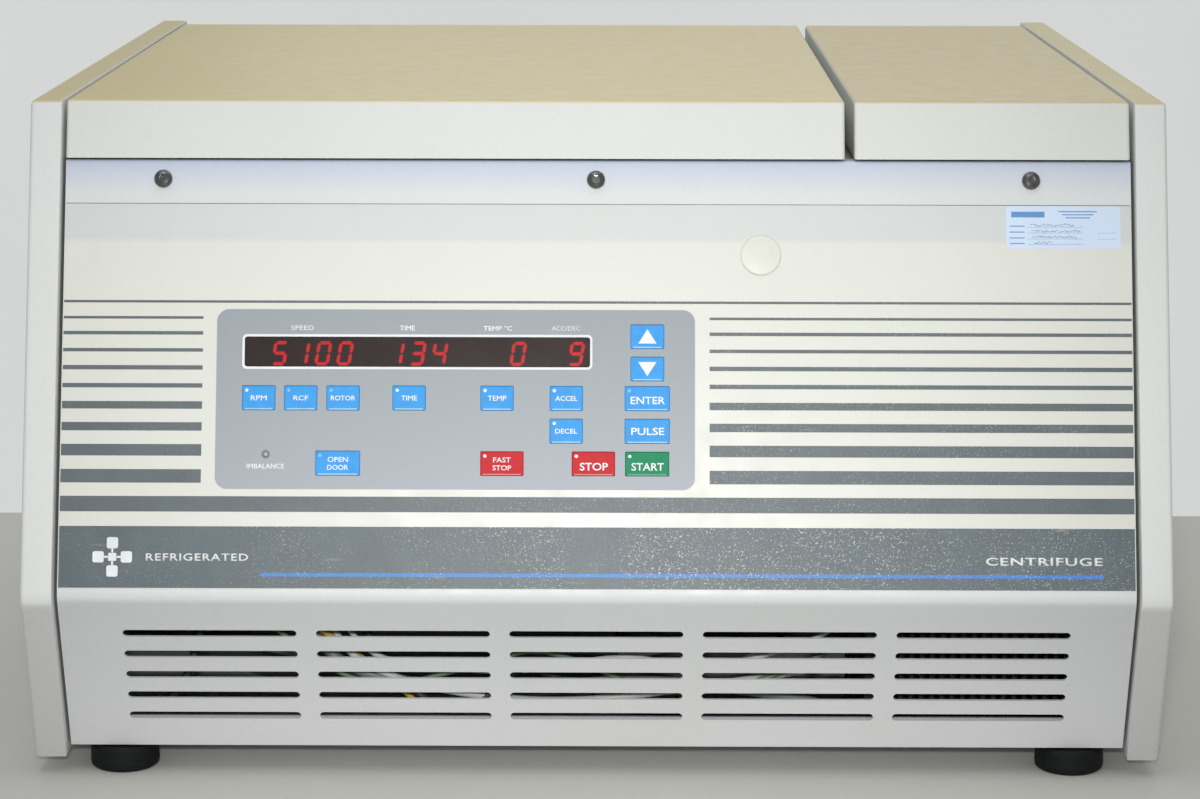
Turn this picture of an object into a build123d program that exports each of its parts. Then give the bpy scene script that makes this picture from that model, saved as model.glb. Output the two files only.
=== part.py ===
from build123d import *
import math
import os

os.makedirs("parts", exist_ok=True)

# Benchtop refrigerated centrifuge with a swing-out rotor.
# Frame: +Z up, front faces -Y, X to the operator's right. The origin is on the bench plane, under
# the centre of the casing's footprint. All lengths are in millimetres, angles in degrees.

# ================================================================ driving dimensions
WIDTH = 650.0            # over the side panels
FRONT_Y = -315.0         # foremost line of the side panels, at the bend
BACK_Y = 314.2
TOP_Z = 385.0
BEND_Z = 112.0           # height of the bend in the front
UPPER_SETBACK = 87.5     # the front leans back this much from bend to top
LOWER_SETBACK = 33.5     # and tucks under this much from bend to lower edge
SIDE_BOTTOM_Z = 10.0
SIDE_T = 18.0            # width of a side panel
SHEET = 2.0
FRONT_SHEET = 1.5        # the folded front panel is thinner
PANEL_INSET = 7.0        # front panel behind the side panels' edges
DOOR_INSET = 5.0
LID_PROUD = PANEL_INSET - DOOR_INSET
PANEL_HALF = 305.0       # half width of front and rear panels

DOOR_X0, DOOR_X1 = -305.0, 141.5
COVER_X0, COVER_X1 = 147.0, 304.6
LID_BACK_Y = 283.0
LID_SHEET = 1.5
LID_BOTTOM_Z = 352.7
PANEL_TOP_Z = 351.3      # top of the front panel, just under the lids
PANEL_LOW_Z = 15.6       # its lower edge
DECK_Z = 347.0           # upper face of the deck
REAR_Y = 300.0           # inner face of the rear panel
FOLD_BACK_Y = REAR_Y - 0.2   # rear faces of pan and deck, clear of the rear panel
PAN_Z = 20.0             # upper face of the base pan floor

BOWL_X, BOWL_Y = -82.0, 30.0   # spindle axis, shared by chamber, motor and rotor
BOWL_R = 198.0
BOWL_FLOOR_Z = 190.0
SERVICE_X = 225.0        # centre line of the machinery to the right of the chamber

HINGE_Y, HINGE_Z = 292.0, 362.0
HINGE_XS = (-230.0, 66.0)
LATCH_Y, LATCH_Z = -220.0, 300.0
HOOK_XS = (-257.0, 93.0)

# Heights called S are measured up the sloping control face, from the bend.
KEYS = {                 # name: centre x, centre s, width, height
    "key_rpm": (-192.4, 116.4, 18.5, 13.8),
    "key_rcf": (-168.5, 116.4, 18.5, 13.8),
    "key_rotor": (-144.4, 116.4, 18.5, 13.8),
    "key_time": (-106.8, 116.5, 18.5, 13.8),
    "key_temp": (-56.8, 116.5, 18.5, 13.8),
    "key_accel": (-17.4, 116.5, 18.5, 13.8),
    "key_decel": (-17.4, 97.8, 18.5, 13.8),
    "key_open_door": (-147.0, 79.2, 25.0, 13.8),
    "key_fast_stop": (-53.8, 79.2, 24.2, 13.6),
    "key_stop": (-1.9, 79.2, 24.2, 13.6),
    "key_start": (28.6, 79.2, 24.6, 13.6),
    "key_pulse": (28.6, 97.8, 25.2, 13.8),
    "key_enter": (28.6, 116.5, 25.2, 13.8),
    "key_down": (28.6, 133.5, 18.8, 13.6),
    "key_up": (28.6, 152.0, 18.8, 13.6),
}
PAD_X, PAD_S, PAD_W, PAD_H = -80.5, 115.8, 272.6, 103.0      # keypad field
WIN_X, WIN_S, WIN_W, WIN_H = -102.3, 142.9, 196.4, 16.8      # display window
LAMP_X, LAMP_S = -188.0, 84.2
PLUG_X, PLUG_S, PLUG_R = 93.3, 199.0, 11.5
OVERLAY_S0, OVERLAY_S1 = 8.0, 228.5

SCREW_HOLE_R = 3.3
FRONT_SCREWS = [(x, 242.6) for x in (-249.0, -1.0, 248.0)]   # x, s
REAR_PAN_SCREWS = [(x, 42) for x in (-285, 0, 285)]          # x, z
REAR_DECK_SCREWS = [(x, 337) for x in (-285, 0, 285)]

# ================================================================ helpers
RISING = (Align.CENTER, Align.CENTER, Align.MIN)
TO_RIGHT, TO_BACK = (0, 90, 0), (-90, 0, 0)   # rotations that lay a cylinder along +X or +Y

UPPER_LEAN = math.atan2(UPPER_SETBACK, TOP_Z - BEND_Z)
LOWER_LEAN = math.atan2(LOWER_SETBACK, BEND_Z - SIDE_BOTTOM_Z)
SIN_UP, COS_UP = math.sin(UPPER_LEAN), math.cos(UPPER_LEAN)
SIN_LOW, COS_LOW = math.sin(LOWER_LEAN), math.cos(LOWER_LEAN)


def upper(s, out=0.0):
    """(y, z) of a point s up the control face and out in front of the front panel's skin."""
    inset = PANEL_INSET - out
    return (FRONT_Y + COS_UP * inset + SIN_UP * s, BEND_Z - SIN_UP * inset + COS_UP * s)


def upper_at_z(z, out=0.0):
    y0, z0 = upper(0, out)
    return (y0 + (z - z0) * SIN_UP / COS_UP, z)


def lower_at_z(z):
    """(y, z) of a point on the skin of the undercut face."""
    y0 = FRONT_Y + COS_LOW * PANEL_INSET
    z0 = BEND_Z + SIN_LOW * PANEL_INSET
    return (y0 + (z0 - z) * SIN_LOW / COS_LOW, z)


def bend_point(out=0.0):
    """(y, z) where the two faces meet, out in front of the skin."""
    return upper((PANEL_INSET - out) * math.tan((UPPER_LEAN + LOWER_LEAN) / 2), out)


def bent_sheet(points, thickness):
    """Closed outline of a bent sheet: the open line given, and its mitred copy to its left."""
    normals = []
    for (y0, z0), (y1, z1) in zip(points, points[1:]):
        length = math.hypot(y1 - y0, z1 - z0)
        normals.append((-(z1 - z0) / length, (y1 - y0) / length))
    shifted = []
    for (y, z), before, after in zip(points, normals[:1] + normals, normals + normals[-1:]):
        sum_y, sum_z = before[0] + after[0], before[1] + after[1]
        reach = 2.0 * thickness / (sum_y * sum_y + sum_z * sum_z)
        shifted.append((y + sum_y * reach, z + sum_z * reach))
    return list(points) + shifted[::-1]


def heading(degrees):
    """Cosine and sine of an angle."""
    return math.cos(math.radians(degrees)), math.sin(math.radians(degrees))


def xz_at(y):
    """Plane across the machine at y, facing the front."""
    return Plane.XZ.offset(-y)


def spindle_plane(z):
    """Level plane centred on the spindle axis."""
    return Plane(origin=(BOWL_X, BOWL_Y, z), x_dir=(1, 0, 0), z_dir=(0, 0, 1))


def control_plane_at(x, s):
    """Plane on the control face, centred at x and s."""
    return Plane(
        origin=control_plane.from_local_coords((x, s, 0)),
        x_dir=(1, 0, 0),
        z_dir=control_plane.z_dir,
    )


def block(x0, x1, y0, y1, z0, z1, mode=Mode.ADD):
    """A box between two corners, added to the builder in progress."""
    with Locations(((x0 + x1) / 2, (y0 + y1) / 2, (z0 + z1) / 2)):
        Box(x1 - x0, y1 - y0, z1 - z0, mode=mode)


def rod(radius, length, start, turn, mode=Mode.ADD):
    """A cylinder from its start point, added to the builder in progress."""
    with Locations(Location(start, turn)):
        Cylinder(radius, length, align=RISING, mode=mode)


def round_corner(sketch, corner, radius):
    """Fillet the sketch vertex nearest to a corner."""
    fillet(sketch.vertices().sort_by_distance(corner)[:1], radius)


def save(builder, name):
    builder.part.label = name
    export_step(builder.part, f"parts/{name}.step")


control_plane = Plane(origin=(0, *upper(0)), x_dir=(1, 0, 0), z_dir=(0, -COS_UP, SIN_UP))
vent_plane = Plane(
    origin=(0, FRONT_Y + COS_LOW * PANEL_INSET, BEND_Z + SIN_LOW * PANEL_INSET),
    x_dir=(1, 0, 0),
    z_dir=(0, -COS_LOW, -SIN_LOW),
)
# Profiles revolved round the spindle are drawn in bowl_side as (radius, z).
bowl_axis = Axis((BOWL_X, BOWL_Y, 0), (0, 0, 1))
bowl_side = Plane(origin=(BOWL_X, BOWL_Y, 0), x_dir=(1, 0, 0), z_dir=(0, -1, 0))

# ================================================================ casing
# Base pan: a folded tray that carries everything, with the feet in its four corner holes.
FEET = [(-276.0, -262.0), (276.0, -262.0), (-276.0, 270.0), (276.0, 270.0)]
PAN_HALF = 303
PAN_FRONT_Y = -274.5
PAN_SIDE_Y = -268        # front ends of the side flanges
PAN_UNDER = PAN_Z - SHEET
PAN_RIM_Z = 52           # top of side and rear flanges
PAN_FRONT_RIM_Z = 33
PAN_SLOTS = [(BOWL_X, BOWL_Y, 5, 110), (SERVICE_X, -150, 3, 100)]   # x, y, rows, slot length

with BuildPart() as base_pan:
    block(-PAN_HALF, PAN_HALF, PAN_FRONT_Y, FOLD_BACK_Y, PAN_UNDER, PAN_Z)
    for x in (-PAN_HALF, PAN_HALF - SHEET):
        block(x, x + SHEET, PAN_SIDE_Y, FOLD_BACK_Y, PAN_UNDER, PAN_RIM_Z)
    block(-PAN_HALF, PAN_HALF, FOLD_BACK_Y - SHEET, FOLD_BACK_Y, PAN_UNDER, PAN_RIM_Z)
    block(-PAN_HALF, PAN_HALF, PAN_FRONT_Y, PAN_FRONT_Y + SHEET, PAN_UNDER, PAN_FRONT_RIM_Z)
    with BuildSketch(Plane.XY.offset(PAN_Z - 5)):
        with Locations(*FEET):
            Circle(4.2)
        for x, y, rows, length in PAN_SLOTS:
            with Locations((x, y)):
                with GridLocations(0, 16, 1, rows):
                    SlotOverall(length, 7)
    extrude(amount=10, mode=Mode.SUBTRACT)
    with BuildSketch(xz_at(REAR_Y + 2)):
        with Locations(*REAR_PAN_SCREWS):
            Circle(SCREW_HOLE_R)
    extrude(amount=8, mode=Mode.SUBTRACT)
save(base_pan, "base_pan")

# Feet: four push-in rubber bumpers with a moulded stem and a barb above the pan.
FOOT_PROFILE = [         # radius, z
    (0, 2.0), (9.0, 2.0), (10.5, 0.0), (18.0, 0.0), (19.7, 1.6), (20.0, 4.0), (19.7, 12.4),
    (18.4, 14.2), (11.0, 14.8), (11.0, 17.9), (4.0, 17.9), (4.0, 20.3), (5.6, 20.9),
    (5.6, 22.5), (3.4, 27.0), (0, 27.0),
]
with BuildPart() as rubber_feet:
    for x, y in FEET:
        with BuildSketch(Plane(origin=(x, y, 0), x_dir=(1, 0, 0), z_dir=(0, -1, 0))):
            with BuildLine():
                Polyline(*FOOT_PROFILE, close=True)
            make_face()
        revolve(axis=Axis((x, y, 0), (0, 0, 1)))
save(rubber_feet, "rubber_feet")

# Side panels: moulded shells, hollowed from the inner face, following the kinked front.
SIDE_OUTLINE = [         # y, z
    (FRONT_Y + LOWER_SETBACK, SIDE_BOTTOM_Z),
    (FRONT_Y, BEND_Z),
    (FRONT_Y + UPPER_SETBACK, TOP_Z),
    (BACK_Y, TOP_Z),
    (BACK_Y, SIDE_BOTTOM_Z),
]
SIDE_HOLLOW = [(-250, 34), (-285, 112), (-222, 322), (292, 322), (292, 34)]   # y, z
SIDE_WALL = 3.0
with BuildPart() as left_side_panel:
    with BuildSketch(Plane.YZ.offset(-WIDTH / 2)) as side_sketch:
        with BuildLine():
            Polyline(*SIDE_OUTLINE, close=True)
        make_face()
        round_corner(side_sketch, SIDE_OUTLINE[1], 16)
        round_corner(side_sketch, SIDE_OUTLINE[2], 4)
        round_corner(side_sketch, SIDE_OUTLINE[3], 4)
    extrude(amount=SIDE_T)
    fillet(left_side_panel.faces().sort_by(Axis.X)[0].edges(), 2.5)
    fillet(left_side_panel.faces().sort_by(Axis.X)[-1].edges(), 0.8)
    with BuildSketch(Plane.YZ.offset(-WIDTH / 2 + SIDE_T)):
        with BuildLine():
            Polyline(*SIDE_HOLLOW, close=True)
        make_face()
    extrude(amount=-(SIDE_T - SIDE_WALL), mode=Mode.SUBTRACT)
save(left_side_panel, "left_side_panel")

with BuildPart() as right_side_panel:
    mirror(left_side_panel.part, about=Plane.YZ)
save(right_side_panel, "right_side_panel")

# Front panel: one folded sheet. Its upper slope carries the controls, its lower slope the air
# inlet slots.
FRONT_LIP = 13           # level strip turned back along the top
FRONT_BEND_R = 12
FRONT_OUTLINE = [        # y, z
    lower_at_z(PANEL_LOW_Z),
    bend_point(),
    upper_at_z(PANEL_TOP_Z),
    (upper_at_z(PANEL_TOP_Z)[0] + FRONT_LIP, PANEL_TOP_Z),
]
with BuildPart() as front_panel:
    with BuildSketch(Plane.YZ) as front_sketch:
        with BuildLine():
            Polyline(*bent_sheet(FRONT_OUTLINE, -FRONT_SHEET), close=True)
        make_face()
        round_corner(front_sketch, bend_point(), FRONT_BEND_R)
        round_corner(front_sketch, bend_point(-FRONT_SHEET), FRONT_BEND_R - FRONT_SHEET)
        round_corner(front_sketch, upper_at_z(PANEL_TOP_Z), 1.7)
    extrude(amount=PANEL_HALF, both=True)
    with BuildSketch(vent_plane):
        with Locations((0, -54.4)):
            with GridLocations(110.0, 14.13, 5, 5):
                SlotOverall(99.0, 4.7)
    extrude(amount=6, both=True, mode=Mode.SUBTRACT)
    with BuildSketch(control_plane):
        for key_x, key_s, key_w, key_h in KEYS.values():
            with Locations((key_x, key_s)):
                RectangleRounded(key_w + 1.0, key_h + 1.0, 1.0)
        with Locations((WIN_X, WIN_S)):
            RectangleRounded(WIN_W + 1.2, WIN_H + 1.2, 1.8)
        with Locations((LAMP_X, LAMP_S)):
            Circle(2.5)
        with Locations((PLUG_X, PLUG_S)):
            Circle(PLUG_R - 1.5)
        with Locations(*FRONT_SCREWS):
            Circle(SCREW_HOLE_R)
    extrude(amount=3.5, both=True, mode=Mode.SUBTRACT)
save(front_panel, "front_panel")

# Printed overlay on the control slope, open where the keypad and the access plug sit.
OVERLAY_T = 0.4
with BuildPart() as panel_overlay:
    with BuildSketch(control_plane):
        with Locations((0, (OVERLAY_S0 + OVERLAY_S1) / 2)):
            Rectangle(2 * PANEL_HALF - 1.0, OVERLAY_S1 - OVERLAY_S0)
        with Locations((PAD_X, PAD_S)):
            RectangleRounded(PAD_W, PAD_H, 7.0, mode=Mode.SUBTRACT)
        with Locations((PLUG_X, PLUG_S)):
            Circle(PLUG_R + 0.25, mode=Mode.SUBTRACT)
    extrude(amount=OVERLAY_T)
save(panel_overlay, "panel_overlay")

# Keypad membrane: the plain field around keys and display.
MEMBRANE_T = 0.5
with BuildPart() as keypad_membrane:
    with BuildSketch(control_plane):
        with Locations((PAD_X, PAD_S)):
            RectangleRounded(PAD_W - 0.3, PAD_H - 0.3, 6.9)
        for key_x, key_s, key_w, key_h in KEYS.values():
            with Locations((key_x, key_s)):
                RectangleRounded(key_w + 0.5, key_h + 0.5, 0.8, mode=Mode.SUBTRACT)
        with Locations((WIN_X, WIN_S)):
            RectangleRounded(WIN_W + 0.4, WIN_H + 0.4, 1.6, mode=Mode.SUBTRACT)
        with Locations((LAMP_X, LAMP_S)):
            Circle(1.7, mode=Mode.SUBTRACT)
    extrude(amount=MEMBRANE_T)
save(keypad_membrane, "keypad_membrane")

# Tinted window in front of the digit modules.
WINDOW_BACK, WINDOW_FRONT = 1.9, 0.45    # depth behind and height above the panel's skin
with BuildPart() as display_window:
    with BuildSketch(control_plane.offset(-WINDOW_BACK)):
        with Locations((WIN_X, WIN_S)):
            RectangleRounded(WIN_W, WIN_H, 1.4)
    extrude(amount=WINDOW_BACK + WINDOW_FRONT)
save(display_window, "display_window")

# Door shell and fixed cover share one profile: sheet lids, open underneath.
LID_PROFILE = [          # y, z
    upper_at_z(LID_BOTTOM_Z, LID_PROUD),
    upper_at_z(TOP_Z, LID_PROUD),
    (LID_BACK_Y, TOP_Z),
    (LID_BACK_Y, LID_BOTTOM_Z),
]


def build_lid(x0, x1, posts=()):
    """A lid from x0 to x1, with posts under its top at the given (x, y)."""
    with BuildPart() as lid:
        with BuildSketch(Plane.YZ.offset(x0)) as profile:
            with BuildLine():
                Polyline(*LID_PROFILE, close=True)
            make_face()
            round_corner(profile, LID_PROFILE[1], 3.5)
            round_corner(profile, LID_PROFILE[2], 3.5)
        extrude(amount=x1 - x0)
        for end in (0, -1):
            end_edges = lid.faces().sort_by(Axis.X)[end].edges()
            fillet(end_edges.filter_by(lambda edge: edge.center().Z > LID_BOTTOM_Z + 1), 2.0)
        offset(amount=-LID_SHEET, openings=lid.faces().sort_by(Axis.Z)[0])
        if posts:
            with Locations(*[(x, y, DECK_Z) for x, y in posts]):
                Cylinder(6, TOP_Z - LID_SHEET + 0.2 - DECK_Z, align=RISING)
    return lid


# Fixed top cover over the refrigeration side, on four posts.
COVER_POSTS = [(165, -195), (287, -195), (165, 262), (287, 262)]
save(build_lid(COVER_X0, COVER_X1, COVER_POSTS), "fixed_top_cover")

# Deck: the plate under the door. It is folded down in front and behind, has the chamber mouth,
# the two strike slots, and three tabs that carry the latch shaft.
DECK_GAP = -FRONT_SHEET - 0.1    # the front fold lies just behind the front panel
DECK_OUTLINE = [         # y, z
    upper(236.0, DECK_GAP),
    upper_at_z(DECK_Z, DECK_GAP),
    (FOLD_BACK_Y, DECK_Z),
    (FOLD_BACK_Y, 328.0),
]
LATCH_TAB = [            # y, z
    (-226, DECK_Z - 1), (-210, DECK_Z - 1), (-210, 305), (-213, 291), (-227, 291), (-230, 305),
]
TAB_XS = (-273.0, -82.0, 113.0)
TAB_T = 3.0
LATCH_SHAFT_R = 5.0
with BuildPart() as top_deck:
    with BuildSketch(Plane.YZ):
        with BuildLine():
            Polyline(*bent_sheet(DECK_OUTLINE, -SHEET), close=True)
        make_face()
    extrude(amount=304.0, both=True)
    for x in TAB_XS:
        with BuildSketch(Plane.YZ.offset(x - TAB_T / 2)):
            with BuildLine():
                Polyline(*LATCH_TAB, close=True)
            make_face()
            with Locations((LATCH_Y, LATCH_Z)):
                Circle(LATCH_SHAFT_R + 0.06, mode=Mode.SUBTRACT)
        extrude(amount=TAB_T)
    with BuildSketch(Plane.XY.offset(DECK_Z + 1)):
        with Locations((BOWL_X, BOWL_Y)):
            Circle(BOWL_R + 5.0)
        for x in HOOK_XS:
            with Locations((x, -206)):
                Rectangle(30, 18)
    extrude(amount=-5, mode=Mode.SUBTRACT)
    with BuildSketch(control_plane):
        with Locations(*FRONT_SCREWS):
            Circle(SCREW_HOLE_R)
    extrude(amount=-8, mode=Mode.SUBTRACT)
    with BuildSketch(xz_at(REAR_Y + 2)):
        with Locations(*REAR_DECK_SCREWS):
            Circle(SCREW_HOLE_R)
    extrude(amount=8, mode=Mode.SUBTRACT)
save(top_deck, "top_deck")

# Rear panel: flat sheet with the air outlet slots and the opening for the mains module.
INLET_X, INLET_Z = SERVICE_X, 90.0
INLET_HALF_W, INLET_HALF_H = 25, 31      # body of the mains module
OUTLET_SLOTS = [(BOWL_X, 108, 3), (SERVICE_X, 235, 1)]   # centre x, centre z, columns
with BuildPart() as rear_panel:
    block(-PANEL_HALF, PANEL_HALF, REAR_Y, REAR_Y + SHEET, 14, 345)
    with BuildSketch(xz_at(REAR_Y + 4)):
        for x, z, columns in OUTLET_SLOTS:
            with Locations((x, z)):
                with GridLocations(110, 14.06, columns, 8):
                    SlotOverall(99, 4.5)
        with Locations((INLET_X, INLET_Z)):
            Rectangle(2 * INLET_HALF_W + 0.4, 2 * INLET_HALF_H + 0.4)
        with Locations(*REAR_DECK_SCREWS, *REAR_PAN_SCREWS):
            Circle(SCREW_HOLE_R)
    extrude(amount=6, mode=Mode.SUBTRACT)
save(rear_panel, "rear_panel")

# Button-head screws: three on the front panel, six on the rear panel, all alike.
SCREW_PROFILE = [        # radius, height above the panel
    (0, -12), (2.95, -12), (2.95, 0), (5.3, 0), (5.25, 0.7), (4.75, 1.9), (3.7, 2.8),
    (2.3, 3.25), (0, 3.3),
]
screw_planes = [control_plane_at(x, s) for x, s in FRONT_SCREWS] + [
    Plane(origin=(x, REAR_Y + SHEET, z), x_dir=(-1, 0, 0), z_dir=(0, 1, 0))
    for x, z in REAR_DECK_SCREWS + REAR_PAN_SCREWS
]
with BuildPart() as panel_screws:
    for seat in screw_planes:
        with BuildSketch(Plane(origin=seat.origin, x_dir=seat.x_dir, z_dir=-seat.y_dir)):
            with BuildLine():
                Polyline(*SCREW_PROFILE, close=True)
            make_face()
        revolve(axis=Axis(seat.origin, seat.z_dir))
        # hexagon socket
        with BuildSketch(seat.offset(4)):
            RegularPolygon(2.31, 6)
        extrude(amount=-2.9, mode=Mode.SUBTRACT)
save(panel_screws, "panel_screws")

# Access plug over the manual door release.
PLUG_PROFILE = [         # radius, height above the panel's skin
    (0, -1.2), (8.0, -1.2), (8.0, -6.5), (9.2, -6.5), (9.9, -4.6), (9.6, -2.2), (9.6, 0),
    (PLUG_R, 0), (PLUG_R, 0.7), (11.0, 1.1), (6, 1.35), (0, 1.45),
]
plug_plane = control_plane_at(PLUG_X, PLUG_S)
with BuildPart() as access_plug:
    with BuildSketch(Plane(origin=plug_plane.origin, x_dir=(1, 0, 0), z_dir=-plug_plane.y_dir)):
        with BuildLine():
            Polyline(*PLUG_PROFILE, close=True)
        make_face()
    revolve(axis=Axis(plug_plane.origin, plug_plane.z_dir))
save(access_plug, "access_plug")

# ================================================================ keys and display
# Each key cap has a face, a retaining flange behind the front panel and a stem over its switch.
KEY_BACK = 2.2           # back of the cap body, behind the panel's skin
STEM_BACK = 3.6
FLANGE_T = 0.75
for key_name, (key_x, key_s, key_w, key_h) in KEYS.items():
    with BuildPart() as key_cap:
        with BuildSketch(control_plane.offset(-KEY_BACK)):
            with Locations((key_x, key_s)):
                RectangleRounded(key_w, key_h, 0.7)
        extrude(amount=2.5)
        face_axis = Axis(control_plane.origin, control_plane.z_dir)
        fillet(key_cap.faces().sort_by(face_axis)[-1].edges(), 0.35)
        with BuildSketch(control_plane.offset(-FRONT_SHEET - 0.9)):
            with Locations((key_x, key_s)):
                RectangleRounded(key_w + 2.2, key_h + 2.2, 1.2)
        extrude(amount=FLANGE_T)
        with BuildSketch(control_plane.offset(-STEM_BACK)):
            with Locations((key_x, key_s)):
                Rectangle(5, 5)
        extrude(amount=STEM_BACK - KEY_BACK)
    save(key_cap, key_name)

# Display board: circuit board on four standoffs, digit modules, one switch per key, and the
# imbalance lamp.
BOARD_BACK = 8.1         # back of the board, behind the panel's skin
BOARD_T = 1.6
DIGIT_PITCH = 12.4
DIGIT_GROUPS = [(-193.4, 5), (-127.1, 4), (-57.4, 2), (-24.3, 2)]   # first centre x, digits
STANDOFFS = [(-214, 160), (-214, 72), (53, 160), (50, 68)]          # x, s
board_face = control_plane.offset(-BOARD_BACK + BOARD_T - 0.1)
with BuildPart() as display_board:
    with BuildSketch(control_plane.offset(-BOARD_BACK)):
        with Locations((PAD_X, PAD_S)):
            Rectangle(PAD_W + 6, PAD_H - 2)
    extrude(amount=BOARD_T)
    with BuildSketch(board_face):
        for first_x, digits in DIGIT_GROUPS:
            with Locations((first_x + (digits - 1) * DIGIT_PITCH / 2, WIN_S)):
                Rectangle(digits * DIGIT_PITCH, 16.4)
    extrude(amount=4.2)
    with BuildSketch(board_face):
        for key_x, key_s, _, _ in KEYS.values():
            with Locations((key_x, key_s)):
                Rectangle(6, 6)
    extrude(amount=1.9)
    with BuildSketch(board_face):
        with Locations((LAMP_X, LAMP_S)):
            Circle(1.5)
    extrude(amount=6.9)
    with BuildSketch(board_face):
        with Locations(*STANDOFFS):
            Circle(2.2)
    extrude(amount=4.6)
save(display_board, "display_board")

# ================================================================ door
save(build_lid(DOOR_X0, DOOR_X1), "door_shell")

# Inner door plate: a steel tray, turned up all round inside the shell, that presses on the
# chamber gasket.
LINER_Z = 357.3          # underside
LINER_TOP_Z = LINER_Z + 16
LINER_GAP = 1.8          # from the shell's outside to the tray
LINER_Y0 = upper_at_z(LINER_TOP_Z, LID_PROUD - LID_SHEET)[0] + 1.0
with BuildPart() as door_liner:
    block(
        DOOR_X0 + LINER_GAP, DOOR_X1 - LINER_GAP,
        LINER_Y0, LID_BACK_Y - LINER_GAP,
        LINER_Z, LINER_TOP_Z,
    )
    fillet(door_liner.edges().filter_by(Axis.Z), 5.0)
    fillet(door_liner.faces().sort_by(Axis.Z)[0].edges(), 2.5)
    offset(amount=-SHEET, openings=door_liner.faces().sort_by(Axis.Z)[-1])
    # stiffening ring on the tray floor, over the chamber
    with BuildSketch(spindle_plane(LINER_Z + 1.9)):
        Circle(170)
        Circle(162, mode=Mode.SUBTRACT)
    extrude(amount=6)
save(door_liner, "door_liner")

# Strikes: two slotted plates under the door that the hooks catch.
STRIKE_Y = -208          # front face
with BuildPart() as door_strikes:
    for x in HOOK_XS:
        block(x - 12, x + 12, STRIKE_Y, STRIKE_Y + 3, 315, LINER_Z - 2)
        block(x - 12, x + 12, STRIKE_Y, STRIKE_Y + 16, LINER_Z - 2, LINER_Z)
        block(x - 7, x + 7, STRIKE_Y - 1, STRIKE_Y + 4, 321, 339, mode=Mode.SUBTRACT)
save(door_strikes, "door_strikes")

# Hinge arms: flat links from the door plate to the pivot.
HINGE_PIN_R = 4.0
ARM_W = 16
ARM_OUTLINE = [          # y, z
    (215, LINER_Z), (215, LINER_Z - 5), (262, 349.4), (288, 349.4), (298, 356),
    (HINGE_Y, HINGE_Z), (285.4, 358), (284.4, 352.4), (270, 352.4), (262, LINER_Z),
]
with BuildPart() as hinge_arms:
    for x in HINGE_XS:
        with BuildSketch(Plane.YZ.offset(x - ARM_W / 2)):
            with BuildLine():
                Polyline(*ARM_OUTLINE, close=True)
            make_face()
            with Locations((HINGE_Y, HINGE_Z)):
                Circle(8.6)
                Circle(HINGE_PIN_R + 0.05, mode=Mode.SUBTRACT)
        extrude(amount=ARM_W)
        block(x - 20, x + 20, 215, 262, LINER_Z - 3, LINER_Z)
save(hinge_arms, "hinge_arms")

# Hinge brackets: two ears on a foot, with the pivot pin through them.
EAR_T = 4.0
BRACKET_BACK_Y = 299
EAR_OUTLINE = [          # y, z
    (281.5, DECK_Z), (BRACKET_BACK_Y, DECK_Z), (BRACKET_BACK_Y, HINGE_Z),
    (HINGE_Y, HINGE_Z + 7), (286, HINGE_Z),
]
with BuildPart() as hinge_brackets:
    for x in HINGE_XS:
        ear_xs = (x - 13.0, x + 9.0)
        for ear_x in ear_xs:
            with BuildSketch(Plane.YZ.offset(ear_x)):
                with BuildLine():
                    Polyline(*EAR_OUTLINE, close=True)
                make_face()
                with Locations((HINGE_Y, HINGE_Z)):
                    Circle(7)
                    Circle(HINGE_PIN_R + 0.03, mode=Mode.SUBTRACT)
            extrude(amount=EAR_T)
        for ear_x in ear_xs:
            block(ear_x, ear_x + EAR_T, 262, BRACKET_BACK_Y, DECK_Z, DECK_Z + 2)
        block(x - 26, x - 9, 270, BRACKET_BACK_Y, DECK_Z, DECK_Z + 2)
        block(x + 9, x + 44, 270, BRACKET_BACK_Y, DECK_Z, DECK_Z + 2)
        rod(HINGE_PIN_R, 57, (x - 15.0, HINGE_Y, HINGE_Z), TO_RIGHT)
save(hinge_brackets, "hinge_brackets")

# Counterbalance springs, wound on the free right-hand ends of the hinge pins.
SPRING_PITCH, SPRING_TURNS = 2.6, 8
with BuildPart() as hinge_springs:
    for x in HINGE_XS:
        with BuildLine() as spring_path:
            Helix(
                pitch=SPRING_PITCH,
                height=SPRING_PITCH * SPRING_TURNS,
                radius=6.0,
                center=(x + 16, HINGE_Y, HINGE_Z),
                direction=(1, 0, 0),
            )
        with BuildSketch(Plane(origin=spring_path.line @ 0, z_dir=spring_path.line % 0)):
            Circle(1.0)
        sweep(path=spring_path.line, is_frenet=True)
save(hinge_springs, "hinge_springs")

# ================================================================ latch
# One shaft with two hooks. The outline is that of the hooked position, relative to the shaft
# axis; the sketch plane turns it back to rest.
HOOK_REST_DEG = 20.0
HOOK_T = 8.0
HOOK_OUTLINE = [         # y, z
    (-5, -26), (5, -26), (7, -8), (7, 8), (8, 26), (20, 26), (20, 31), (15, 34), (0, 34),
    (-7, 12), (-7, -8),
]
rest_cos, rest_sin = heading(HOOK_REST_DEG)
with BuildPart() as latch_shaft:
    rod(LATCH_SHAFT_R, 398.0, (-279.0, LATCH_Y, LATCH_Z), TO_RIGHT)
    for x in HOOK_XS:
        hook_plane = Plane(
            origin=(x - HOOK_T / 2, LATCH_Y, LATCH_Z),
            x_dir=(0, rest_cos, rest_sin),
            z_dir=(1, 0, 0),
        )
        with BuildSketch(hook_plane):
            with BuildLine():
                Polyline(*HOOK_OUTLINE, close=True)
            make_face()
            # only the right hook's tail is slotted, for the plunger pin
            if x == HOOK_XS[1]:
                with Locations((0, -19.8)):
                    SlotOverall(8.0, 5.0, rotation=90, mode=Mode.SUBTRACT)
        extrude(amount=HOOK_T)
save(latch_shaft, "latch_shaft")

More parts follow.
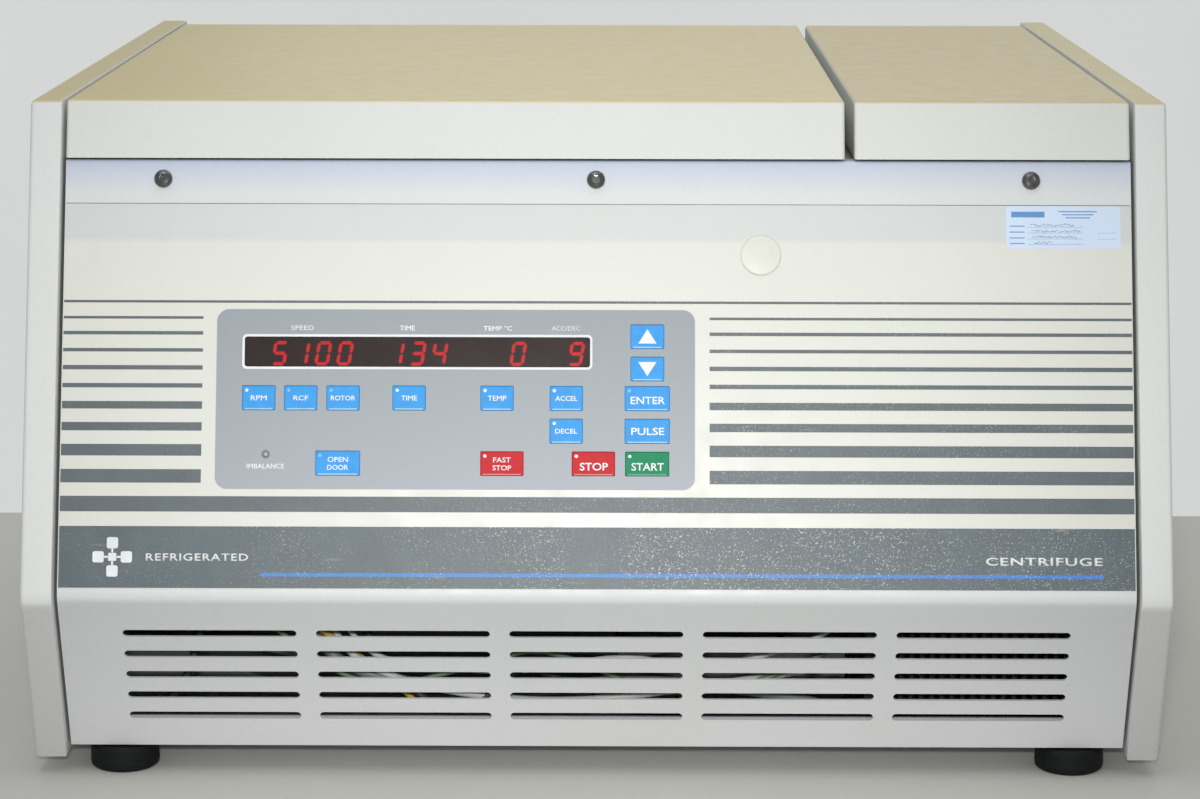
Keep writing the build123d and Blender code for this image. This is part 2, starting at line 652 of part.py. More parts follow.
# Release solenoid, hung from the deck behind the right hook's tail.
SOL_X = HOOK_XS[1]
SOL_Z = LATCH_Z - 19.4
SOL_HALF = 14
SOL_BACK_Y = -146
SOL_TOP_Z = DECK_Z - SHEET
sol_x0, sol_x1 = SOL_X - SOL_HALF, SOL_X + SOL_HALF
with BuildPart() as latch_solenoid:
    block(sol_x0, sol_x1, SOL_BACK_Y - 50, SOL_BACK_Y, SOL_Z - SOL_HALF, SOL_Z + SOL_HALF)
    fillet(latch_solenoid.edges().filter_by(Axis.Y), 3)
    block(sol_x0, sol_x1, SOL_BACK_Y - 3, SOL_BACK_Y, SOL_Z, SOL_TOP_Z)
    block(sol_x0, sol_x1, SOL_BACK_Y - 3, SOL_BACK_Y + 16, SOL_TOP_Z - 2, SOL_TOP_Z)
    rod(4.7, 38, (SOL_X, -197, SOL_Z), TO_BACK, mode=Mode.SUBTRACT)
save(latch_solenoid, "latch_solenoid")

# Plunger, with a clevis and pin round the right hook's tail.
CLEVIS_INNER, CLEVIS_OUTER = 4.6, 8      # clevis faces, from its mid plane
SOL_PIN_Y = LATCH_Y + 20 * rest_sin
with BuildPart() as solenoid_plunger:
    rod(4.5, 34, (SOL_X, -200.5, SOL_Z), TO_BACK)
    block(SOL_X - CLEVIS_OUTER, SOL_X + CLEVIS_OUTER, -204.5, -200, SOL_Z - 5, SOL_Z + 5)
    for x in (SOL_X - CLEVIS_OUTER, SOL_X + CLEVIS_INNER):
        block(x, x + CLEVIS_OUTER - CLEVIS_INNER, -218.5, -204, SOL_Z - 4, SOL_Z + 4)
    rod(2.0, 2 * CLEVIS_OUTER, (SOL_X - CLEVIS_OUTER, SOL_PIN_Y, SOL_Z), TO_RIGHT)
save(solenoid_plunger, "solenoid_plunger")

# ================================================================ chamber
# Bowl: thin shell with a rim on the deck and a raised collar round the spindle hole.
BOWL_T = 1.5
BOWL_RIM_Z = DECK_Z + BOWL_T
BOWL_CORNER_R = 16
BOWL_PROFILE = [         # radius, z
    (BOWL_R + 18, DECK_Z), (BOWL_R + 18, BOWL_RIM_Z),
    (BOWL_R, BOWL_RIM_Z), (BOWL_R, BOWL_FLOOR_Z),
    (44, BOWL_FLOOR_Z), (37, BOWL_FLOOR_Z + 8),
    (34, BOWL_FLOOR_Z + 8), (34, BOWL_FLOOR_Z + 6.5),
    (36.2, BOWL_FLOOR_Z + 6.5), (43.3, BOWL_FLOOR_Z - BOWL_T),
    (BOWL_R + BOWL_T, BOWL_FLOOR_Z - BOWL_T), (BOWL_R + BOWL_T, DECK_Z),
]
with BuildPart() as chamber_bowl:
    with BuildSketch(bowl_side) as bowl_sketch:
        with BuildLine():
            Polyline(*BOWL_PROFILE, close=True)
        make_face()
        round_corner(bowl_sketch, (BOWL_R, BOWL_FLOOR_Z), BOWL_CORNER_R)
        outer_corner = (BOWL_R + BOWL_T, BOWL_FLOOR_Z - BOWL_T)
        round_corner(bowl_sketch, outer_corner, BOWL_CORNER_R + BOWL_T)
        round_corner(bowl_sketch, (BOWL_R, BOWL_RIM_Z), 2.0)
    revolve(axis=bowl_axis)
save(chamber_bowl, "chamber_bowl")

# Gasket: soft lip seal on the bowl's rim.
GASKET_Z = BOWL_RIM_Z + 0.05
GASKET_PROFILE = [       # radius, z
    (BOWL_R + 3, GASKET_Z), (BOWL_R + 16, GASKET_Z),
    (BOWL_R + 16, DECK_Z + 4), (BOWL_R + 13, DECK_Z + 6.5),
    (BOWL_R + 11, DECK_Z + 10.0), (BOWL_R + 8, DECK_Z + 10.0),
    (BOWL_R + 6.5, DECK_Z + 6.0), (BOWL_R + 3, DECK_Z + 4),
]
with BuildPart() as chamber_gasket:
    with BuildSketch(bowl_side):
        with BuildLine():
            Polyline(*GASKET_PROFILE, close=True)
        make_face()
    revolve(axis=bowl_axis)
save(chamber_gasket, "chamber_gasket")

# Armour ring: a heavy steel cylinder round the chamber, with openings near the pan for air and
# wiring.
RING_INNER_R, RING_OUTER_R = 213.0, 219.0
with BuildPart() as barrier_ring:
    with BuildSketch(spindle_plane(PAN_Z)):
        Circle(RING_OUTER_R)
        Circle(RING_INNER_R, mode=Mode.SUBTRACT)
    extrude(amount=DECK_Z - SHEET - PAN_Z)
    for turn in (45, 135, 225, 315):
        ct, st = heading(turn)
        opening_plane = Plane(origin=(BOWL_X, BOWL_Y, 0), x_dir=(-st, ct, 0), z_dir=(ct, st, 0))
        with BuildSketch(opening_plane):
            with Locations((0, 65)):
                RectangleRounded(150, 62, 14)
        extrude(amount=260, mode=Mode.SUBTRACT)
save(barrier_ring, "barrier_ring")

# Evaporator: copper tube, modelled solid, wound round the bowl.
COIL_PITCH, COIL_TURNS = 15, 7
with BuildPart() as evaporator_coil:
    with BuildLine() as coil_path:
        Helix(
            pitch=COIL_PITCH,
            height=COIL_PITCH * COIL_TURNS,
            radius=BOWL_R + 7.3,
            center=(BOWL_X, BOWL_Y, 218),
        )
    with BuildSketch(Plane(origin=coil_path.line @ 0, z_dir=coil_path.line % 0)):
        Circle(4.6)
    sweep(path=coil_path.line, is_frenet=True)
save(evaporator_coil, "evaporator_coil")

# ================================================================ drive
SHAFT_R = 12.0
SHAFT_FIT = 0.03         # radial gap of bearings and rotor hub on the spindle
MOTOR_Z = 46             # underside of the motor flange
MOUNT_PITCH = 160        # square pattern of the isolators
TAPER_LOW_Z, TAPER_TOP_Z, TAPER_TOP_R = 262, 302, 10.0   # spindle nose

# Motor housing with the stator in it: a finned can between two bearing seats, on a square flange.
MOTOR_PROFILE = [        # radius, z
    (22.1, MOTOR_Z), (80, MOTOR_Z), (80, 54), (78, 54), (78, 168), (70, 176), (34, 176),
    (28, 182), (28, 200), (22.1, 200), (22.1, 164), (62, 164), (70, 158), (70, 148),
    (61, 148), (61, 72), (70, 72), (70, 62), (66, 58), (22.1, 58),
]
with BuildPart() as motor_housing:
    with BuildSketch(bowl_side):
        with BuildLine():
            Polyline(*MOTOR_PROFILE, close=True)
        make_face()
    revolve(axis=bowl_axis)
    with BuildSketch(spindle_plane(64)):
        with PolarLocations(79, 30):
            Rectangle(8, 3)
    extrude(amount=96)
    with BuildSketch(spindle_plane(MOTOR_Z)):
        RectangleRounded(204, 204, 20)
        Circle(75, mode=Mode.SUBTRACT)
        with GridLocations(MOUNT_PITCH, MOUNT_PITCH, 2, 2):
            Circle(5.0, mode=Mode.SUBTRACT)
    extrude(amount=6)
save(motor_housing, "motor_housing")

# Isolators: four rubber bobbins between the pan and the motor flange.
with BuildPart() as motor_mounts:
    with Locations((BOWL_X, BOWL_Y, PAN_Z)):
        with GridLocations(MOUNT_PITCH, MOUNT_PITCH, 2, 2):
            Cylinder(15, MOTOR_Z - PAN_Z, align=RISING)
            Cylinder(4.8, MOTOR_Z - PAN_Z + 5, align=RISING)
save(motor_mounts, "motor_mounts")

# Ball bearings (as closed rings) above and below the motor core.
with BuildPart() as shaft_bearings:
    for z in (MOTOR_Z + 0.5, 184.0):
        with BuildSketch(spindle_plane(z)):
            Circle(22.05)
            Circle(SHAFT_R + SHAFT_FIT, mode=Mode.SUBTRACT)
        extrude(amount=11)
save(shaft_bearings, "shaft_bearings")

# Spindle: runs in the bearings, tapers into the rotor hub, and is bored for the tie-down screw.
SPINDLE_PROFILE = [      # radius, z
    (0, 40), (SHAFT_R - 1, 40), (SHAFT_R, 41), (SHAFT_R, 240), (SHAFT_R + 3, 240),
    (SHAFT_R + 3, 246), (SHAFT_R, 246), (SHAFT_R, TAPER_LOW_Z), (TAPER_TOP_R, TAPER_TOP_Z),
    (5.1, TAPER_TOP_Z), (5.1, 276), (0, 276),
]
with BuildPart() as drive_shaft:
    with BuildSketch(bowl_side):
        with BuildLine():
            Polyline(*SPINDLE_PROFILE, close=True)
        make_face()
    revolve(axis=bowl_axis)
save(drive_shaft, "drive_shaft")

# Motor core: squirrel cage on the spindle, with an end ring above and below.
with BuildPart() as motor_core:
    with BuildSketch(spindle_plane(74)):
        Circle(60.2)
        Circle(SHAFT_R, mode=Mode.SUBTRACT)
    extrude(amount=72)
    with BuildSketch(spindle_plane(66)):
        Circle(56)
        Circle(44, mode=Mode.SUBTRACT)
    extrude(amount=88)
save(motor_core, "motor_core")

# ================================================================ rotor
QUARTERS = (0, 90, 180, 270)
SWING_R = 100.0          # swing axis distance from the spindle axis
PIN_Z = 292.0
PIN_R = 6.0
HUB_LOW_Z, HUB_TOP_Z = 256, 314

# Yoke: hub and four arms. Each arm ends in a block with a trunnion for each neighbouring bucket.
ARM_END = [(46, 46), (112, 46), (116, 60), (60, 116), (46, 112)]   # from the spindle axis
ARM_END_FILLETS = [(ARM_END[1], 4), (ARM_END[4], 4), (ARM_END[2], 8), (ARM_END[3], 8)]
TRUNNION_START, TRUNNION_L = 39.6, 8
HUB_BORE = [             # radius, z
    (0, 250), (SHAFT_R + SHAFT_FIT, 250), (SHAFT_R + SHAFT_FIT, TAPER_LOW_Z),
    (TAPER_TOP_R + SHAFT_FIT, TAPER_TOP_Z), (7.0, 303), (7.0, 320), (0, 320),
]
with BuildPart() as rotor_yoke:
    with BuildSketch(spindle_plane(PIN_Z - 15)):
        Circle(33)
    extrude(amount=30)
    with BuildSketch(spindle_plane(HUB_LOW_Z)):
        Circle(26)
    extrude(amount=HUB_TOP_Z - HUB_LOW_Z)
    for turn in QUARTERS:
        ct, st = heading(turn)
        arm_plane = Plane(
            origin=(BOWL_X, BOWL_Y, PIN_Z - 13), x_dir=(ct, st, 0), z_dir=(0, 0, 1)
        )
        with BuildSketch(arm_plane) as arm_sketch:
            with BuildLine():
                Polyline(*ARM_END, close=True)
            make_face()
            with Locations(Location((44, 44, 0), (0, 0, 45))):
                Rectangle(90, 28)
            with Locations((74, 74)):
                Circle(11, mode=Mode.SUBTRACT)
            for corner, radius in ARM_END_FILLETS:
                round_corner(arm_sketch, corner, radius)
        extrude(amount=26)
    # trunnions along Y for the buckets on the X axis, then the other way round
    for across, along in (((1, 0, 0), (0, 1, 0)), ((0, 1, 0), (1, 0, 0))):
        pin_plane = Plane(origin=(BOWL_X, BOWL_Y, PIN_Z), x_dir=across, z_dir=along)
        for side in (1, -1):
            with BuildSketch(pin_plane.offset(side * TRUNNION_START)):
                with Locations((SWING_R, 0), (-SWING_R, 0)):
                    Circle(PIN_R)
            extrude(amount=side * TRUNNION_L)
    with BuildSketch(bowl_side):
        with BuildLine():
            Polyline(*HUB_BORE, close=True)
        make_face()
    revolve(axis=bowl_axis, mode=Mode.SUBTRACT)
save(rotor_yoke, "rotor_yoke")

# Tie-down screw: grooved head on the hub, plain shank in the spindle, hexagon socket on top.
with BuildPart() as tiedown_screw:
    with BuildSketch(spindle_plane(HUB_TOP_Z + 1.2)):
        Circle(17)
        with PolarLocations(17.6, 16):
            Circle(1.7, mode=Mode.SUBTRACT)
    extrude(amount=16)
    with BuildSketch(spindle_plane(284)):
        Circle(5.0)
    extrude(amount=32)
    with BuildSketch(spindle_plane(HUB_TOP_Z + 0.2)):
        Circle(12)
    extrude(amount=1.2)
    with BuildSketch(spindle_plane(332)):
        RegularPolygon(5.2, 6)
    extrude(amount=-9, mode=Mode.SUBTRACT)
save(tiedown_screw, "tiedown_screw")

# Swing-out buckets: round cups with a rim and two slotted ears that hook over the trunnions.
BUCKET_OUTER_R, BUCKET_INNER_R = 40.0, 36.5
BUCKET_DOWN, BUCKET_UP = 88.0, 22.0      # extent below and above the swing axis
BUCKET_RIM_R = 42.5
CUP_FLOOR = -BUCKET_DOWN + 5
SLOT_R = PIN_R + 0.08
CUP_PROFILE = [          # radius, height over the swing axis
    (0, -BUCKET_DOWN), (BUCKET_OUTER_R, -BUCKET_DOWN), (BUCKET_OUTER_R, BUCKET_UP - 6),
    (BUCKET_RIM_R, BUCKET_UP - 4), (BUCKET_RIM_R, BUCKET_UP), (0, BUCKET_UP),
]
HOLLOW_PROFILE = [
    (0, CUP_FLOOR), (BUCKET_INNER_R, CUP_FLOOR),
    (BUCKET_INNER_R, BUCKET_UP + 2), (0, BUCKET_UP + 2),
]
for number, turn in enumerate(QUARTERS, start=1):
    ct, st = heading(turn)
    centre = (BOWL_X + SWING_R * ct, BOWL_Y + SWING_R * st, PIN_Z)
    cup_plane = Plane(origin=centre, x_dir=(ct, st, 0), z_dir=(0, 0, 1))
    side_plane = Plane(origin=centre, x_dir=(ct, st, 0), z_dir=(st, -ct, 0))
    with BuildPart() as bucket:
        with BuildSketch(side_plane) as cup_sketch:
            with BuildLine():
                Polyline(*CUP_PROFILE, close=True)
            make_face()
            round_corner(cup_sketch, CUP_PROFILE[1], 25)
        revolve(axis=Axis(centre, (0, 0, 1)))
        with BuildSketch(cup_plane.offset(-13)):
            for side in (1, -1):
                with Locations((0, side * BUCKET_OUTER_R)):
                    RectangleRounded(28, 10, 2)
        extrude(amount=24)
        with BuildSketch(side_plane) as hollow_sketch:
            with BuildLine():
                Polyline(*HOLLOW_PROFILE, close=True)
            make_face()
            round_corner(hollow_sketch, HOLLOW_PROFILE[1], 21.5)
        revolve(axis=Axis(centre, (0, 0, 1)), mode=Mode.SUBTRACT)
        # slots open downwards, round at the swing axis
        for side in (1, -1):
            with BuildSketch(side_plane.offset(side * 39.2)):
                Circle(SLOT_R)
                with Locations((0, -10)):
                    Rectangle(2 * SLOT_R, 20)
            extrude(amount=side * 8, mode=Mode.SUBTRACT)
    save(bucket, f"bucket_{number}")

# ================================================================ refrigeration
# Compressor: domed can with a seam band, on a base plate with four rubber feet, and two pipe
# stubs at the back.
COMPRESSOR_Y = 60
COMPRESSOR_R = 60
COMPRESSOR_FEET_PITCH = 112
with BuildPart() as compressor:
    with BuildSketch(Plane.XY.offset(26)):
        with Locations((SERVICE_X, COMPRESSOR_Y)):
            Circle(COMPRESSOR_R)
    extrude(amount=158)
    fillet(compressor.faces().sort_by(Axis.Z)[-1].edges(), 34)
    fillet(compressor.faces().sort_by(Axis.Z)[0].edges(), 12)
    with BuildSketch(Plane.XY.offset(118)):
        with Locations((SERVICE_X, COMPRESSOR_Y)):
            Circle(COMPRESSOR_R + 2.5)
    extrude(amount=8)
    with BuildSketch(Plane.XY.offset(32)):
        with Locations((SERVICE_X, COMPRESSOR_Y)):
            RectangleRounded(134, 134, 12)
            with GridLocations(COMPRESSOR_FEET_PITCH, COMPRESSOR_FEET_PITCH, 2, 2):
                Circle(4, mode=Mode.SUBTRACT)
    extrude(amount=3)
    with Locations((SERVICE_X, COMPRESSOR_Y, PAN_Z)):
        with GridLocations(COMPRESSOR_FEET_PITCH, COMPRESSOR_FEET_PITCH, 2, 2):
            Cylinder(9, 12.1, align=RISING)
    for x in (SERVICE_X + 20, SERVICE_X - 20):
        rod(5, 22, (x, COMPRESSOR_Y + 55, 150), TO_BACK)
save(compressor, "compressor")

# Condenser: block on two feet, with upright slots cut into its front to leave fins.
CONDENSER_Y0, CONDENSER_Y1 = -262, -222
with BuildPart() as condenser:
    block(SERVICE_X - 69, SERVICE_X + 69, CONDENSER_Y0, CONDENSER_Y1, 30, 216)
    for x in (162, 236):
        block(x, x + 20, CONDENSER_Y0, CONDENSER_Y1, PAN_Z, 31)
    with BuildSketch(xz_at(CONDENSER_Y0 - 0.5)):
        with Locations((SERVICE_X, 118)):
            with GridLocations(6.0, 0, 20, 1):
                Rectangle(3.4, 184)
    extrude(amount=-18, mode=Mode.SUBTRACT)
save(condenser, "condenser")

# Axial fan behind the condenser: square frame on a plinth, with the motor seat on four struts.
FAN_Z = 108.0
FAN_HALF = 75
FAN_Y0, FAN_Y1 = -220, -182
FAN_HUB_R = 26
FAN_PIN_R = 3.0
fan_x0, fan_x1 = SERVICE_X - FAN_HALF, SERVICE_X + FAN_HALF
with BuildPart() as fan_housing:
    block(fan_x0, fan_x1, FAN_Y0, FAN_Y1, FAN_Z - FAN_HALF, FAN_Z + FAN_HALF)
    fillet(fan_housing.edges().filter_by(Axis.Y), 8)
    rod(70, 40, (SERVICE_X, FAN_Y0 - 1, FAN_Z), TO_BACK, mode=Mode.SUBTRACT)
    with BuildSketch(xz_at(FAN_Y0)):
        with Locations((SERVICE_X, FAN_Z)):
            Circle(FAN_HUB_R)
            with PolarLocations(49, 4, 45):
                Rectangle(50, 6)
            Circle(FAN_PIN_R + 0.05, mode=Mode.SUBTRACT)
    extrude(amount=-5)
    block(fan_x0, fan_x1, FAN_Y0, FAN_Y1, PAN_Z, FAN_Z - FAN_HALF + 1)
    with BuildSketch(xz_at(FAN_Y1)):
        with Locations((SERVICE_X, 26)):
            Rectangle(120, 9)
    extrude(amount=40, mode=Mode.SUBTRACT)
save(fan_housing, "fan_housing")


# Fan wheel: hub, pin and five twisted blades.
def blade_plane(turn, reach, pitch):
    """Section plane of the blade at angle turn, reach out from the axis, set at pitch."""
    ct, st = heading(turn)
    cos_pitch, sin_pitch = heading(pitch)
    radial = Vector(ct, 0, st)
    return Plane(
        origin=Vector(SERVICE_X, -200, FAN_Z) + radial * reach,
        x_dir=Vector(-st * cos_pitch, sin_pitch, ct * cos_pitch),
        z_dir=radial,
    )


BLADES = 5
with BuildPart() as fan_blades:
    rod(FAN_HUB_R, 27, (SERVICE_X, FAN_Y0 + 6.5, FAN_Z), TO_BACK)
    rod(FAN_PIN_R, 6.5, (SERVICE_X, FAN_Y0 + 0.5, FAN_Z), TO_BACK)
    for blade in range(BLADES):
        turn = 360 / BLADES * blade
        with BuildSketch(blade_plane(turn, reach=22, pitch=40)):
            Rectangle(26, 2.2)
        with BuildSketch(blade_plane(turn, reach=66, pitch=24)):
            Rectangle(44, 1.6)
        loft()
save(fan_blades, "fan_blades")

# ================================================================ power
# Motor drive board on standoffs, with capacitors and a finned heat sink.
DRIVE_BOARD_Z = 32
PARTS_Z = DRIVE_BOARD_Z + 1.5            # parts sink 0.1 into the board
with BuildPart() as drive_board:
    block(166, 294, 168, 286, DRIVE_BOARD_Z, DRIVE_BOARD_Z + 1.6)
    with Locations((230, 227, PAN_Z)):
        with GridLocations(112, 102, 2, 2):
            Cylinder(4, 12.1, align=RISING)
    with Locations(*[(188, y, PARTS_Z) for y in (190, 226, 262)]):
        Cylinder(16, 46, align=RISING)
    block(222, 286, 176, 246, PARTS_Z, 42)
    with BuildSketch(Plane.XY.offset(41.9)):
        with Locations((254, 211)):
            with GridLocations(8, 0, 8, 1):
                Rectangle(3, 70)
    extrude(amount=34)
save(drive_board, "drive_board")

# Mains module: flanged inlet with three blades, and a well for the rocker above it.
ROCKER_Y, ROCKER_Z = REAR_Y - 2.0, INLET_Z + 15.0
WELL_FRONT_Y, WELL_BACK_Y = REAR_Y - 16, REAR_Y + 6      # extent of both cut-outs
PANEL_BACK_Y = REAR_Y + SHEET
CONTACTS = [(-7, -19), (0, -22), (7, -19)]   # blade centre x, blade foot z, from the centre
with BuildPart() as power_inlet:
    block(
        INLET_X - 31, INLET_X + 31,
        PANEL_BACK_Y, PANEL_BACK_Y + 2.5,
        INLET_Z - 34, INLET_Z + 34,
    )
    fillet(power_inlet.edges().filter_by(Axis.Y), 4)
    block(
        INLET_X - INLET_HALF_W, INLET_X + INLET_HALF_W,
        REAR_Y - 24, PANEL_BACK_Y + 0.1,
        INLET_Z - INLET_HALF_H, INLET_Z + INLET_HALF_H,
    )
    # socket below, rocker well above
    for half_w, low, high in ((13, -26, -6), (8.5, 3, 27)):
        block(
            INLET_X - half_w, INLET_X + half_w,
            WELL_FRONT_Y, WELL_BACK_Y,
            INLET_Z + low, INLET_Z + high,
            mode=Mode.SUBTRACT,
        )
    rod(1.55, 20.0, (INLET_X - 10.0, ROCKER_Y, ROCKER_Z), TO_RIGHT, mode=Mode.SUBTRACT)
    for dx, foot in CONTACTS:
        x, z = INLET_X + dx, INLET_Z + foot
        block(x - 1, x + 1, REAR_Y - 17, REAR_Y, z, z + 7)
save(power_inlet, "power_inlet")

# Rocker: shallow V-shaped cap, tipped 10 degrees to one side on a crosswise pivot pin.
ROCKER_HALF_W = 8.2
ROCKER_PIN_HALF = 9.8
ROCKER_OUTLINE = [(-6, -9.5), (5.2, -10.4), (3.4, 0), (5.2, 10.4), (-6, 9.5)]
tip_cos, tip_sin = heading(10)
rocker_plane = Plane(
    origin=(INLET_X - ROCKER_HALF_W, ROCKER_Y, ROCKER_Z),
    x_dir=(0, tip_cos, tip_sin),
    z_dir=(1, 0, 0),
)
with BuildPart() as power_rocker:
    with BuildSketch(rocker_plane):
        with BuildLine():
            Polyline(*ROCKER_OUTLINE, close=True)
        make_face()
    extrude(amount=2 * ROCKER_HALF_W)
    rod(1.5, 2 * ROCKER_PIN_HALF, (INLET_X - ROCKER_PIN_HALF, ROCKER_Y, ROCKER_Z), TO_RIGHT)
save(power_rocker, "power_rocker")
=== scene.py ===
import math
import random

import bmesh
import bpy
from mathutils import Matrix, Vector


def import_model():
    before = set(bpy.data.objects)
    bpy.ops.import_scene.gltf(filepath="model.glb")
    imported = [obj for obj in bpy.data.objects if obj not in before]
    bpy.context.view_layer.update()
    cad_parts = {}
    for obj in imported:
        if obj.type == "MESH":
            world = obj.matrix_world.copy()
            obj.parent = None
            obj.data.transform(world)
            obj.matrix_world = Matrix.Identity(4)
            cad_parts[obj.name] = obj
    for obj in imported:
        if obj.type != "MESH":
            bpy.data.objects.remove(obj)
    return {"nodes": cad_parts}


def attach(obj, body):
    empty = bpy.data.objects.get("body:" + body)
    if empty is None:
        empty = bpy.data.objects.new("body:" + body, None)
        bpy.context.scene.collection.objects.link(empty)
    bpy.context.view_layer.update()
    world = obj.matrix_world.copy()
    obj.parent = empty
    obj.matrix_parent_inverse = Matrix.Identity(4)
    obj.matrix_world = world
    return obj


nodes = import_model()["nodes"]
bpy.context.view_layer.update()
random.seed(11)
scene = bpy.context.scene
MM = 0.001
TO_METRES = Matrix.Scale(MM, 4)

# ---------------------------------------------------------------- frame of the control slope
FRONT_Y, BEND_Z = -315.0, 112.0  # where the front bends back into the slope
TOP_Z, SLOPE_RUN = 385.0, 87.5  # top of the slope, and how far back it leans
SLOPE_INSET = 7.0  # depth of the control face inside the slope

lean = math.atan2(SLOPE_RUN, TOP_Z - BEND_Z)
lean_sin, lean_cos = math.sin(lean), math.cos(lean)
slope_origin = Vector((0, FRONT_Y + lean_cos * SLOPE_INSET, BEND_Z - lean_sin * SLOPE_INSET))
# Takes (x across, s up the slope, n out of it) in mm to world metres.
PANEL = Matrix.Translation(slope_origin * MM) @ Matrix((
    (1, 0, 0, 0),
    (0, lean_sin, -lean_cos, 0),
    (0, lean_cos, lean_sin, 0),
    (0, 0, 0, 1))) @ TO_METRES


# ---------------------------------------------------------------- material kit
class Mat:
    """A Principled material, with helpers that add nodes and return their outputs."""

    def __init__(self, name):
        self.material = bpy.data.materials.new(name)
        self.material.use_nodes = True
        self.tree = self.material.node_tree
        self.shader = self.tree.nodes["Principled BSDF"]
        self.coords = self.new("TexCoord").outputs
        self.normal = None

    def feed(self, socket, value):
        """Link an output to the socket, or set a plain value. Colours get an alpha of 1."""
        if isinstance(value, bpy.types.NodeSocket):
            self.tree.links.new(value, socket)
        elif socket.type == "RGBA":
            socket.default_value = (*value, 1)
        else:
            socket.default_value = value

    def feed_named(self, node, inputs):
        for name, value in inputs.items():
            self.feed(node.inputs[name.replace("_", " ")], value)

    def new(self, kind, **inputs):
        node = self.tree.nodes.new("ShaderNode" + kind)
        self.feed_named(node, inputs)
        return node

    def set(self, **inputs):
        self.feed_named(self.shader, inputs)

    def noise(self, scale, detail=2.0, rough=0.5, stretch=(1, 1, 1)):
        place = self.new("Mapping", Vector=self.coords["Object"], Scale=stretch)
        node = self.new("TexNoise", Vector=place.outputs["Vector"], Scale=scale,
                        Detail=detail, Roughness=rough)
        return node.outputs["Fac"]

    def remap(self, value, span, to=(0.0, 1.0)):
        node = self.new("MapRange", Value=value, From_Min=span[0], From_Max=span[1],
                        To_Min=to[0], To_Max=to[1])
        return node.outputs["Result"]

    def patches(self, span=(0.3, 0.7), to=(0.0, 1.0), **noise):
        """Noise with its span remapped."""
        return self.remap(self.noise(**noise), span, to)

    def mix(self, amount, first, second):
        node = self.new("Mix")
        node.data_type = "RGBA"
        for i, value in ((0, amount), (6, first), (7, second)):
            self.feed(node.inputs[i], value)
        return node.outputs[2]

    def mottle(self, base, other, **patches):
        """The base colour, turning to the other where the noise is high."""
        return self.mix(self.patches(**patches), base, other)

    def ramp(self, value, stops):
        """Stops are (position, colour or grey level)."""
        node = self.new("ValToRGB", Fac=value)
        elements = node.color_ramp.elements
        while len(elements) < len(stops):
            elements.new(0.5)
        for element, (position, color) in zip(elements, stops):
            element.position = position
            element.color = (*color, 1) if isinstance(color, tuple) else (color,) * 3 + (1,)
        return node.outputs["Color"]

    def math(self, operation, first, second):
        node = self.new("Math")
        node.operation = operation
        self.feed(node.inputs[0], first)
        self.feed(node.inputs[1], second)
        return node.outputs["Value"]

    def times(self, first, second):
        return self.math("MULTIPLY", first, second)

    def axis(self, which, source="Object"):
        return self.new("SeparateXYZ", Vector=self.coords[source]).outputs[which]

    def bump(self, height, strength, distance):
        """Add a bump on top of those already made."""
        node = self.new("Bump", Height=height, Strength=strength, Distance=distance)
        if self.normal is not None:
            self.feed(node.inputs["Normal"], self.normal)
        self.normal = node.outputs["Normal"]
        self.set(Normal=self.normal)

    def mix_surface(self, amount, first, second):
        """Show a mix of two shader nodes as the surface."""
        node = self.new("MixShader")
        for i, value in enumerate((amount, first.outputs[0], second.outputs[0])):
            self.feed(node.inputs[i], value)
        self.feed(self.tree.nodes["Material Output"].inputs["Surface"], node.outputs[0])


def linear(*rgb):
    """8-bit display colour to linear."""
    return tuple(c / 12.92 if c <= 0.04045 else ((c + 0.055) / 1.055) ** 2.4
                 for c in (level / 255.0 for level in rgb))


def scaled(color, factor):
    return tuple(min(1.0, c * factor) for c in color)


def paint(name, front, top=None, low=None, shade=None, rough=0.42, grain=900.0, depth=0.00004):
    """Fine-textured paint. Faces that look up take 'top', a painted warm light from above, and
    those that look down take 'low', a painted shade, which may be a pair of colours blended by
    height.
    'shade' is a painted cool shadow that tints the highest part."""
    m = Mat(name)
    color = m.mix(amount=1.0, first=front, second=front)
    if top or low:
        facing = m.axis("Z", "Normal")
    # painted shade: faces that look down are darkened, graded by height where 'low' is a pair
    if low:
        if isinstance(low[0], tuple):
            low = m.mix(m.remap(m.axis("Z"), span=(0.10, 0.02)), *low)
        color = m.mix(m.remap(facing, span=(-0.05, -0.25)), color, low)
    # painted light: faces that look up take the warm tint of the light from above
    if top:
        color = m.mix(m.remap(facing, span=(0.55, 0.9)), color, top)
    # painted shadow: the highest part takes a cool shade colour
    if shade:
        color = m.mix(m.remap(m.axis("Z"), span=(0.333, 0.3495)), color, shade)
    # clouds, fine flecks, then dirt
    color = m.mottle(color, (0.42, 0.38, 0.28), span=(0.35, 0.7), to=(0.0, 0.066),
                     scale=7.0, detail=3.0, rough=0.55)
    color = m.mottle(color, (0.30, 0.28, 0.24), to=(0.0, 0.05), scale=grain * 0.9, detail=1.0)
    color = m.mottle(color, (0.35, 0.31, 0.22), span=(0.62, 0.85), to=(0.0, 0.10),
                     scale=38.0, detail=5.0, rough=0.7)
    m.set(Base_Color=color, Specular_IOR_Level=0.45,
          Roughness=m.patches(to=(rough - 0.05, rough + 0.07), scale=60.0, detail=3.0))
    m.bump(m.noise(grain, rough=0.55), strength=0.35, distance=depth)
    m.bump(m.noise(scale=240.0, detail=1.0), strength=0.25, distance=depth)
    return m


